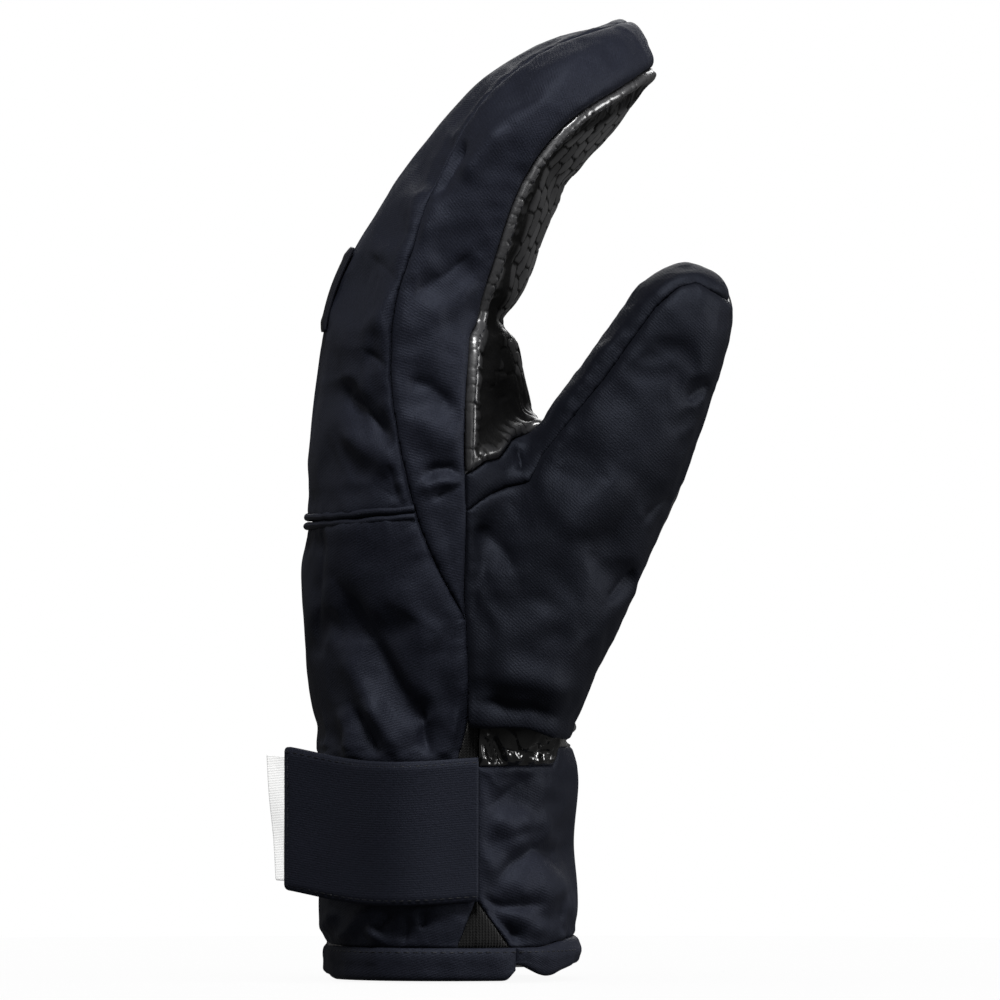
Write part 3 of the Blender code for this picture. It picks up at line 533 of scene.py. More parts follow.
HAND, THUMB = frame_tubes()
THUMB_SIDE_Y = HAND.middle_y + THUMB_SIDE_SEAM_Y


def on_hand(seam):
    """A seam down the hand, as (distance along the spine, share across)."""
    return [(HAND.at(station), share) for station, share in seam]


def joined_level(points, fillet):
    """Both tubes as one body, with a fillet where they meet."""
    a, b = HAND.level(points), THUMB.level(points)
    mix = np.clip(0.5 + 0.5 * (b - a) / fillet, 0, 1)
    return b + (a - b) * mix - fillet * mix * (1 - mix)


def evenly(depth):
    """The same depth all along a tube."""
    return lambda s: depth + 0.0 * s


def joined_mesh(fillet):
    """An even grid of quads over both tubes, drawn onto their joined surface."""
    below, thumb_start = -0.012, 0.002
    hand = HAND.closed_mesh(below, evenly(0.0))
    thumb = THUMB.closed_mesh(thumb_start, evenly(0.0), 48)
    rough = voxelled("rough", (hand, thumb), VOXEL)
    points, faces, edges = places(rough.data), faces_of(rough.data), edges_of(rough.data)
    discard(rough)
    points = relaxed(points, edges, 6, 0.5)
    step, longest = 1e-4, 0.0012
    for _ in range(3):
        level = joined_level(points, fillet)
        ahead = [joined_level(points + shift, fillet) for shift in np.eye(3) * step]
        slope = (np.stack(ahead, 1) - level[:, None]) / step
        move = -level[:, None] * slope / np.maximum((slope**2).sum(1), 0.05)[:, None]
        length = np.linalg.norm(move, axis=1)
        move *= np.minimum(1, longest / np.maximum(length, TINY))[:, None]
        points = relaxed(points + move, edges, 1, 0.15)
    return points, faces, edges


def relaxed(points, edges, rounds, share):
    """Moves each point part of the way to the middle of its neighbours."""
    here, there = np.concatenate([edges, edges[:, ::-1]]).T
    count = np.maximum(np.bincount(here, minlength=len(points)), 1)[:, None]
    for _ in range(rounds):
        sums = [np.bincount(here, part[there], len(points)) for part in points.T]
        points = points + share * (np.stack(sums, 1) / count - points)
    return points


# ---- Shader language ---------------------------------------------------------------------------


class Number:
    """A socket that carries a number, and takes part in arithmetic by adding Math nodes."""

    def __init__(self, look, socket):
        self.look, self.socket = look, socket

    def math(self, operation, *others, first=None):
        values = [self if first is None else first, *others]
        node = self.look.node("ShaderNodeMath", {"operation": operation}, values)
        return Number(self.look, node.outputs[0])

    def __add__(self, other):
        return self.math("ADD", other)

    __radd__ = __add__

    def __sub__(self, other):
        return self.math("SUBTRACT", other)

    def __rsub__(self, other):
        return self.math("SUBTRACT", self, first=other)

    def __mul__(self, other):
        return self.math("MULTIPLY", other)

    __rmul__ = __mul__

    def wave(self):
        """A sine wave from 0 to 1."""
        return self.math("SINE") * 0.5 + 0.5

    def held(self, low=0.0, high=1.0):
        return self.math("MAXIMUM", low).math("MINIMUM", high)


class Look:
    """A material that is drawn by its nodes. Keywords set constants on its shader."""

    def __init__(self, name, **constants):
        self.material = bpy.data.materials.new(name)
        self.material.use_nodes = True
        self.tree = self.material.node_tree
        self.shader = self.tree.nodes["Principled BSDF"]
        for key, value in constants.items():
            self.shader.inputs[key.replace("_", " ")].default_value = value

    def node(self, kind, settings=None, values=()):
        """A node of this type. Settings come first, then the values or links of its inputs."""
        node = self.tree.nodes.new(kind)
        for key, value in (settings or {}).items():
            setattr(node, key, value)
        pairs = values.items() if isinstance(values, dict) else enumerate(values)
        for key, value in pairs:
            self.feed(node.inputs[key], value)
        return node

    def feed(self, socket, value):
        if isinstance(value, Number):
            value = value.socket
        if isinstance(value, bpy.types.NodeSocket):
            self.tree.links.new(value, socket)
        elif isinstance(value, (tuple, list)):
            socket.default_value = (*value, 1.0)
        elif value is not None:
            socket.default_value = value

    def number(self, node, output=0):
        return Number(self, node.outputs[output])

    def uv(self):
        """The piece's own map, in metres across and along, as two numbers."""
        where = self.node("ShaderNodeUVMap", {"uv_map": "Weave"})
        parts = self.node("ShaderNodeSeparateXYZ", None, [where.outputs[0]])
        return self.number(parts, 0), self.number(parts, 1)

    def place(self):
        return self.node("ShaderNodeTexCoord").outputs["Object"]

    def attribute(self, name):
        return self.number(self.node("ShaderNodeAttribute", {"attribute_name": name}), "Fac")

    def noise(self, scale, detail, roughness=0.5):
        values = {"Vector": self.place(), "Scale": scale, "Detail": detail}
        values["Roughness"] = roughness
        return self.number(self.node("ShaderNodeTexNoise", None, values), "Fac")

    def cells(self, scale):
        """Distance from the middle of each of many small random cells."""
        values = {"Vector": self.place(), "Scale": scale}
        return self.number(self.node("ShaderNodeTexVoronoi", None, values), "Distance")

    def mix(self, share, first, second):
        """A colour between two others."""
        node = self.node("ShaderNodeMix", {"data_type": "RGBA"}, {0: share, 6: first, 7: second})
        return node.outputs[2]

    def bump(self, height, distance, strength):
        values = {"Height": height, "Distance": distance, "Strength": strength}
        return self.node("ShaderNodeBump", None, values).outputs[0]

    def finish(self, tone, ends, rough, bump, **links):
        """Joins colour, roughness, relief and any other links to the shader."""
        links.update(Base_Color=self.mix(tone, *ends), Roughness=rough, Normal=bump)
        for key, value in links.items():
            self.feed(self.shader.inputs[key.replace("_", " ")], value)
        return self.material


def twill(name, ends, pitch=0.00074, lean=0.35):
    """A close diagonal weave: one direction of fine raised cords, broken by the cross threads."""
    look = Look(
        name,
        Sheen_Weight=0.02,
        Sheen_Roughness=0.45,
        Sheen_Tint=(0.55, 0.6, 0.85, 1.0),
        Specular_IOR_Level=0.20,
        Specular_Tint=(0.70, 0.78, 1.0, 1.0),
    )
    u, v = look.uv()
    turns = 2 * math.pi / pitch
    shift = look.noise(60.0, 3.0)
    cords = ((v + u * lean) * turns + shift * 2.0).wave()
    cross = ((u - v * lean) * (turns * 1.3)).wave()
    weave = cords * (0.7 + cross * 0.3)
    fine = look.noise(2100.0, 2.0, 0.7)
    tone = (weave * 0.16 + shift * 0.20 + (fine - 0.5) * 1.9 + 0.45).held()
    bump = look.bump(weave * 0.45 + fine * 2.0, 0.00010, 0.7)
    return look.finish(tone, ends, 0.56 + shift * 0.08 - cords * 0.03, bump)


def grain_leather(name, ends):
    """Embossed leather: pores and fine creases, darker and rougher in its grooves and in the
    painted shade that its groove attribute also carries.
    """
    look = Look(name, Specular_IOR_Level=0.12, Coat_Roughness=0.29, Coat_IOR=1.9)
    # The groove attribute holds the tile grooves and painted shade: the crotch hollow, the sunken
    # band inside the welt and the crimps' valleys come out darker, rougher and less glossy.
    groove = look.attribute("groove")
    pores = look.cells(1500.0)
    crease = look.noise(420.0, 4.0, 0.6)
    cloud = look.noise(45.0, 3.0)
    tone = ((1 - groove * 1.25) * (0.5 + cloud * 0.5)).held()
    rough = 0.34 + groove * 0.40 + (cloud - 0.5) * 0.10 + (crease - 0.5) * 0.08
    bump = look.bump(pores * 0.5 + crease * 1.6 + (1 - groove) * 3.4, 0.00014, 0.8)
    coat = ((1 - groove * 1.2) * (0.7 + cloud * 0.8)).held()
    return look.finish(tone, ends, rough, bump, Coat_Weight=coat)


def glossy_leather(name, ends):
    """Thin shiny leather with crazed fine wrinkles."""
    look = Look(name, Specular_IOR_Level=0.3, Coat_Roughness=0.16, Coat_IOR=2.0)
    # The groove attribute marks the upper part of the wrist leather: a matt finish there, with
    # painted shade that darkens it where the thumb's roll overhangs.
    matt_and_shade = look.attribute("groove")
    wide = look.noise(120.0, 4.0, 0.65)
    fine = look.noise(650.0, 3.0)
    rough = 0.20 + matt_and_shade * 0.30 + (fine - 0.5) * 0.12 + (wide - 0.5) * 0.10
    bump = look.bump(wide + fine * 0.25, 0.0005, 0.5)
    coat = (wide * (1 - matt_and_shade) * 1.8).held()
    return look.finish(wide * (1 - matt_and_shade), ends, rough, bump, Coat_Weight=coat)


def rib_knit(name, ends):
    """A ribbed knit: upright ribs of small chained loops."""
    look = Look(name, Sheen_Weight=0.08, Sheen_Roughness=0.5, Specular_IOR_Level=0.15)
    pitch = 0.0009
    u, v = look.uv()
    ribs = (u * (2 * math.pi / pitch)).wave()
    loops = ((v + (ribs - 0.5) * pitch * 0.35) * (2 * math.pi / (pitch * 0.85))).wave()
    fuzz = look.noise(1600.0, 2.0)
    tone = (ribs * 0.55 + loops * 0.25 + fuzz * 0.35).held()
    bump = look.bump(ribs * 0.8 + loops * 0.35 + fuzz * 0.3, 0.0004, 0.8)
    return look.finish(tone, ends, 0.82 + fuzz * 0.12, bump)


def fleece(name, ends):
    """Brushed lining: short matted fibre."""
    look = Look(name, Sheen_Weight=0.6, Sheen_Roughness=0.6, Specular_IOR_Level=0.1)
    tufts = look.noise(330.0, 4.0, 0.7)
    fine = look.noise(1800.0, 2.0)
    bump = look.bump(tufts + fine * 0.4, 0.0009, 0.8)
    return look.finish((tufts * 0.8 + fine * 0.3).held(), ends, 0.9 + fine * 0.08, bump)


def loop_pile(name, ends):
    """The fuzzy or hooked face of a touch fastener."""
    look = Look(name, Sheen_Weight=0.2, Specular_IOR_Level=0.3)
    dots = look.cells(900.0)
    fuzz = look.noise(1400.0, 3.0)
    bump = look.bump(1 - dots + fuzz * 0.4, 0.0005, 0.8)
    return look.finish((dots * 0.8 + fuzz * 0.3).held(), ends, 0.7 + fuzz * 0.2, bump)


def woven_label(name, ends):
    """A satin ribbon: fine threads across, a little worn in tone, with a faint painted glow."""
    white = (1.0, 1.0, 0.99, 1.0)
    # A painted glow: the label gives off a little white light of its own, brighter than its
    # lighting makes it.
    look = Look(name, Specular_IOR_Level=0.4, Emission_Strength=0.30, Emission_Color=white)
    _, v = look.uv()
    threads = (v * (2 * math.pi / 0.00045)).wave()
    cloud = look.noise(160.0, 3.0)
    bump = look.bump(threads + cloud * 0.3, 0.00008, 0.5)
    tone = (threads * 0.35 + cloud * 0.65).held()
    return look.finish(tone, ends, 0.5 + cloud * 0.2, bump)


def moulded(name, ends):
    """A soft moulded patch: fine even grain."""
    look = Look(name, Specular_IOR_Level=0.2)
    grain = look.noise(1300.0, 3.0)
    cloud = look.noise(60.0, 2.0)
    tone = (cloud * 0.6 + grain * 0.4).held()
    return look.finish(tone, ends, 0.42 + grain * 0.16, look.bump(grain, 0.0001, 0.5))


def thread(name, ends):
    """Twisted sewing thread."""
    look = Look(name, Sheen_Weight=0.05, Specular_IOR_Level=0.3)
    strands = look.noise(2600.0, 1.0)
    return look.finish(strands, ends, 0.34 + strands * 0.15, look.bump(strands, 0.0001, 0.6))


def plaster(name, ends):
    """The studio floor: matt white with the faintest cloud."""
    glow = (*bpy.context.scene.mitten_finish.floor_colour, 1.0)
    look = Look(name, Specular_IOR_Level=0.0, Emission_Strength=1.0, Emission_Color=glow)
    cloud = look.noise(1.5, 2.0)
    return look.finish(cloud, ends, 0.95 + cloud * 0.03, None)


# Each finish: its maker, its material, the setting that tints it, and its darkest and lightest
# tones, as shares of that setting's colour or, where nothing tints it, as colours.
FINISHES = {
    "shell": (twill, "shell_twill", "fabric_colour", 0.55, 1.5),
    # The thumb's twill is the shell's twill in darker tones: painted shade, for a weave that
    # catches less light on the thumb.
    "thumb": (twill, "thumb_twill", "fabric_colour", 0.26, 0.66),
    "strap": (twill, "strap_twill", "fabric_colour", 0.55, 1.4),
    "leather": (grain_leather, "palm_grain", "leather_colour", 0.4, 14.0),
    "gathered_leather": (glossy_leather, "wrist_gloss", "leather_colour", 0.5, 1.4),
    "knit": (rib_knit, "gusset_knit", None, (0.003, 0.003, 0.0032), (0.0085, 0.0083, 0.0083)),
    "lining": (fleece, "lining_fleece", None, (0.012, 0.012, 0.014), (0.05, 0.05, 0.055)),
    "hook_and_loop": (
        loop_pile, "touch_fastener", None, (0.006, 0.006, 0.007), (0.03, 0.03, 0.032),
    ),
    "label": (woven_label, "bare_label", None, (0.92, 0.92, 0.92), (0.97, 0.97, 0.96)),
    "patch": (moulded, "back_patch", "fabric_colour", 0.6, 1.2),
    "thread": (thread, "sewing_thread", "fabric_colour", 0.3, 0.9),
    "floor": (plaster, "studio_floor", "floor_colour", 0.86, 0.90),
}
STRAP_WEAVE = {"lean": 0.02, "pitch": 0.00062}
LOOKS = {}


def look_of(kind):
    """The material of one finish, made once."""
    if kind not in LOOKS:
        maker, name, setting, *ends = FINISHES[kind]
        if setting:
            tint = getattr(bpy.context.scene.mitten_finish, setting)
            ends = [tuple(min(1.0, part * share) for part in tint) for share in ends]
        LOOKS[kind] = maker(name, ends, **(STRAP_WEAVE if kind == "strap" else {}))
    return LOOKS[kind]


def finish_piece(piece, look, nodes=(), body=None):
    """Gives a finished piece its material, hides the nodes it replaces and attaches it to its body.
    """
    piece.data.materials.clear()
    piece.data.materials.append(look_of(look))
    if nodes:
        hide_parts(*nodes)
    if body:
        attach(piece, body)
    return piece


# ---- Padding by cloth simulation ---------------------------------------------------------------

PADDING_FRAMES = 20


def padded_out(points, faces, held, pressure, slack, cap):
    """Where the points go when the cloth swells between its held seams."""
    cloth_piece = mesh_object("padding", points, faces)
    group = cloth_piece.vertex_groups.new(name="seams")
    held = np.round(held, 2)
    for weight in np.unique(held[held > 0]):
        members = np.nonzero(held == weight)[0]
        group.add([int(index) for index in members], float(weight), "REPLACE")
    cloth = cloth_piece.modifiers.new("Padding", "CLOTH")
    settings = cloth.settings
    settings.quality = 5
    settings.mass = 0.2
    settings.tension_stiffness = settings.compression_stiffness = 12
    settings.shear_stiffness = 6
    settings.bending_stiffness = 0.6
    settings.air_damping = 2.0
    settings.use_pressure = True
    settings.uniform_pressure_force = pressure
    settings.shrink_min = -slack
    settings.vertex_group_mass = "seams"
    settings.effector_weights.gravity = 0
    cloth.collision_settings.use_collision = False
    cloth.collision_settings.use_self_collision = False
    cloth.point_cache.frame_start, cloth.point_cache.frame_end = 1, PADDING_FRAMES
    scene = bpy.context.scene
    for step in range(PADDING_FRAMES):
        scene.frame_set(step + 1)
    mesh = evaluated_mesh(cloth_piece)
    moved = places(mesh) - points
    scene.frame_set(1)
    bpy.data.meshes.remove(mesh)
    discard(cloth_piece)
    length = np.linalg.norm(moved, axis=1)
    return points + moved * np.minimum(1, cap / np.maximum(length, TINY))[:, None]


# ---- The skin and its panels -------------------------------------------------------------------

PANELS = (
    "cuff_back_hem", "cuff_palm_hem", "cuff_back_panel", "cuff_palm_panel", "cuff_gusset",
    "wrist_leather", "wrist_knit_gusset", "lower_back_panel", "back_panel", "side_strip",
    "palm_leather", "thumb_panel", "thumb_strip", "thumb_leather",
)


def above_wrist(s, x):
    """Height above the wrist seam, which dips towards the palm."""
    return s - WRIST_TOP + 0.0036 * smooth(0.004, 0.019, x)


def seam_fields(points):
    """Every seam as a number over the surface that is zero on it, in metres."""
    s, share = HAND.share(points)
    thick = HAND.thickness(s)
    x, y, z = points.T
    up = np.clip((s - HEM_HEIGHT) / (GUSSET_TOP - HEM_HEIGHT), 0, 1)

    def beside(line):
        return (share - line) * thick

    def along(seam):
        return beside(smooth_between(on_hand(seam), s))

    hand_level, thumb_level = HAND.level(points), THUMB.level(points)
    return {
        "height": s,
        "hem": s - HEM_HEIGHT - 0.0024 * smooth(0.009, 0.021, x),
        "cuff": s - CUFF_HEIGHT - 0.0048 * smooth(0.0146, 0.0170, x),
        "wrist": above_wrist(s, x),
        "slit": beside(SLIT_ACROSS),
        "root": beside(STRAP_ROOT_ACROSS),
        "gusset_left": beside(GUSSET_LEFT + (STRAP_ROOT_ACROSS - GUSSET_LEFT) * up),
        "gusset_right": beside(GUSSET_RIGHT + (STRAP_ROOT_ACROSS - GUSSET_RIGHT) * up),
        "knit_back": beside(KNIT_BACK_EDGE + 0.034 * smooth(CUFF_HEIGHT, WRIST_TOP, s)),
        "knit_palm": beside(KNIT_PALM_EDGE),
        "palm": along(PALM_SEAM),
        "back": along(BACK_SEAM),
        "wedge": s - HAND.at(BACK_SEAM[0][0]),
        "piping": s - HAND.at(PIPING_STATION),
        "hand": thumb_level - hand_level,
        "side": y - THUMB_SIDE_Y,
        "edge": side_of_line(THUMB_EDGE, x, z),
        "seam": side_of_line(THUMB_SEAM, x, z),
        "share": share,
        "y": y - HAND.middle_y,
    }


def panel_numbers(field):
    """The panel that each face lies in, as an index of PANELS, or -1 below the hem."""
    near = field["y"] < 0
    gusset = near & (field["gusset_left"] > 0) & (field["gusset_right"] < 0)
    gusset &= field["height"] < GUSSET_TOP
    names = np.full(len(near), "palm_leather", dtype=object)
    thumb_side = (field["edge"] > 0) & (field["palm"] > 0)
    names[thumb_side & (field["side"] > 0) & (field["hand"] < 0)] = "thumb_leather"
    near_thumb = thumb_side & (field["side"] < 0)
    names[near_thumb & (field["seam"] > 0)] = "thumb_panel"
    names[near_thumb & (field["seam"] <= 0)] = "thumb_strip"
    above = field["palm"] < 0
    back = above & ((field["back"] < 0) | (field["wedge"] < 0))
    names[above] = "side_strip"
    names[back] = np.where(field["piping"][back] > 0, "back_panel", "lower_back_panel")
    wrist = field["wrist"] < 0
    names[wrist] = "wrist_leather"
    names[wrist & near & (field["knit_palm"] < 0)] = "wrist_knit_gusset"
    names[wrist & (field["knit_back"] < 0)] = "lower_back_panel"
    cuff = field["cuff"] < 0
    names[cuff] = np.where(field["root"][cuff] < 0, "cuff_back_panel", "cuff_palm_panel")
    names[cuff & gusset] = "cuff_gusset"
    hem = field["hem"] < 0
    names[hem] = np.where(field["slit"][hem] < 0, "cuff_back_hem", "cuff_palm_hem")
    numbers = np.array([PANELS.index(name) for name in names])
    numbers[field["height"] < 0] = -1
    return numbers


def cut_along(shape, layers, name, allowed, snap=0.14):
    """Draws the zero line of one field into the mesh, as edges, where `allowed` holds.

    Where the line passes nearer to a corner than the share `snap` of an edge, the corner moves
    onto it.
    """
    layer = layers[name]

    def blend_into(target, other, share):
        target.co = target.co.lerp(other.co, share)
        for each in layers.values():
            target[each] = target[each] + (other[each] - target[each]) * share
        target[layer] = 0.0

    def crossing(edges):
        """Edges that the line crosses, with their ends and its share of the way along them."""
        for edge in edges:
            a, b = edge.verts
            if a[layer] * b[layer] < 0:
                yield edge, a, b, a[layer] / (a[layer] - b[layer])

    crossed = [edge for edge, a, b, _ in crossing(shape.edges) if allowed(a) and allowed(b)]
    touched = []
    for _, a, b, share in crossing(crossed):
        if share < snap:
            blend_into(a, b, share)
            touched.append(a)
        elif share > 1 - snap:
            blend_into(b, a, 1 - share)
            touched.append(b)
    for edge, a, b, share in crossing(crossed):
        values = {each: a[each] + (b[each] - a[each]) * share for each in layers.values()}
        _, fresh = bmesh.utils.edge_split(edge, a, share)
        for each, value in values.items():
            fresh[each] = value
        fresh[layer] = 0.0
        touched.append(fresh)
    touched += [vert for vert in shape.verts if vert[layer] == 0.0 and allowed(vert)]
    # Dictionaries keep their order, so the faces are cut in the same order each run.
    zeros = dict.fromkeys(touched)
    for face in dict.fromkeys(face for vert in zeros for face in vert.link_faces):
        split_face(face, zeros, layer)


def split_face(face, zeros, layer):
    corners = list(face.verts)
    count = len(corners)
    on_line = [index for index, vert in enumerate(corners) if vert in zeros]
    for i, first in enumerate(on_line):
        for second in on_line[i + 1 :]:
            if second - first in (1, count - 1):
                continue
            one = [corners[k][layer] for k in range(first + 1, second)]
            two = [corners[k % count][layer] for k in range(second + 1, first + count)]
            if max(one) * min(two) < 0 or min(one) * max(two) < 0:
                bmesh.utils.face_split(face, corners[first], corners[second])
                return


def swells(points):
    """How far each point moves to follow the body's swells."""
    moved = np.zeros_like(points)
    for middle, reach, shift in SWELLS:
        away = np.hypot(points[:, 0] - middle[0] / 1000, points[:, 2] - middle[1] / 1000)
        moved[:, [0, 2]] += bell(away, reach / 1000)[:, None] * np.array(shift) / 1000
    return moved


BROAD_SWELL = (220, 0.6)


class Skin:
    """The whole outer surface, swollen between its seams and cut into panels."""

    def __init__(self):
        sizes = bpy.context.scene.mitten_shape
        points, faces, edges = joined_mesh(sizes.crotch_fillet)
        swollen = points
        held = self.seam_hold(points, faces)
        puffs = (sizes.puff_pressure, sizes.puff_slack, sizes.puff_cap)
        swollen = padded_out(points, faces, held, *puffs)
        moved = swollen - points
        # Only the swelling between the seams is kept, not that of the whole body.
        swollen = points + moved - relaxed(moved, edges, *BROAD_SWELL)
        rest = subdivided(mesh_object("rest", points, faces))
        fields = seam_fields(places(rest.data))
        discard(rest)
        full = subdivided(mesh_object("full", swollen + swells(points), faces))
        for axis, part in zip("xyz", normals(full.data).T):
            fields["out_" + axis] = part
        self.shape = bmesh.new()
        self.shape.from_mesh(full.data)
        discard(full)
        self.layers = {name: self.shape.verts.layers.float.new(name) for name in fields}
        columns = {name: values.tolist() for name, values in fields.items()}
        for index, vert in enumerate(self.shape.verts):
            for name, layer in self.layers.items():
                vert[layer] = columns[name][index]
        self.cut()
        self.sort()

    def seam_hold(self, points, faces):
        """How firmly the padding is held: 1 on the seams, and half under the strap."""
        fields = seam_fields(points)
        numbers = panel_numbers(fields)[np.array(faces)]
        held = np.zeros(len(points))
        held[np.array(faces)[numbers.min(1) != numbers.max(1)].ravel()] = 1.0
        height = fields["height"]
        held[height < 0.004] = 1.0
        held[(height > 0.028) & (height < CUFF_HEIGHT) & (fields["share"] < 0.6)] = 0.5
        return held

    def cut(self):
        """Cuts the skin along every seam, each only where it is sewn."""
        layer = self.layers
        tiny = 1e-5

        def over(name, limit=0.0):
            return lambda vert: vert[layer[name]] >= limit - tiny

        def under(name, limit=0.0):
            return lambda vert: vert[layer[name]] <= limit + tiny

        def both(*tests):
            return lambda vert: all(test(vert) for test in tests)

        everywhere = over("height", -0.01)
        near = under("y", -0.002)
        on_hand = both(over("wrist"), under("edge", 0.0))
        cuff = both(over("hem"), under("cuff"))
        band = both(over("cuff"), under("wrist"))
        gusset = both(over("hem"), under("height", GUSSET_TOP), near)
        lines = (
            ("height", everywhere),
            ("hem", everywhere),
            ("cuff", everywhere),
            ("wrist", over("knit_back", -0.004)),
            ("slit", both(over("height"), under("hem"))),
            ("gusset_left", gusset),
            ("gusset_right", gusset),
            ("root", cuff),
            ("knit_back", band),
            ("knit_palm", both(band, near)),
            ("palm", over("wrist")),
            ("back", both(over("wedge"), under("palm"))),
            ("piping", under("back", 0.0)),
            ("edge", both(over("palm"), under("side", 0.012), over("wrist"))),
            ("side", both(over("edge"), over("palm"), over("wrist"))),
            ("hand", both(over("edge"), over("side"), over("palm"), over("wrist"))),
            ("seam", both(over("edge"), over("palm"), under("side"))),
        )
        for name, allowed in lines:
            cut_along(self.shape, layer, name, allowed)

    def sort(self):
        """Reads the cut mesh out as arrays, with the panel of each face."""
        self.shape.verts.index_update()
        self.points = np.array([vert.co[:] for vert in self.shape.verts])
        self.values = {
            name: np.array([vert[layer] for vert in self.shape.verts])
            for name, layer in self.layers.items()
        }
        self.faces = [tuple(vert.index for vert in face.verts) for face in self.shape.faces]
        self.shape.free()
        middles = {}
        counts = np.array([len(face) for face in self.faces])
        flat = np.concatenate([np.array(face) for face in self.faces])
        owner = np.repeat(np.arange(len(self.faces)), counts)
        for name, values in self.values.items():
            middles[name] = np.bincount(owner, values[flat], len(self.faces)) / counts
        self.numbers = panel_numbers(middles)

    def panel(self, name):
        """One panel at its finest: an object whose mesh carries the fields it needs."""
        chosen = np.nonzero(self.numbers == PANELS.index(name))[0]
        faces = [self.faces[index] for index in chosen]
        used = np.unique(np.concatenate([np.array(face) for face in faces]))
        fresh = {int(old): new for new, old in enumerate(used)}
        piece = mesh_object(
            name, self.points[used], [tuple(fresh[corner] for corner in face) for face in faces]
        )
        for field, values in self.values.items():
            put_attribute(piece.data, field, values[used])
        return subdivided(piece)


SHARED = {}


def skin():
    if "skin" not in SHARED:
        SHARED["skin"] = Skin()
    return SHARED["skin"]


# ---- Folds -------------------------------------------------------------------------------------

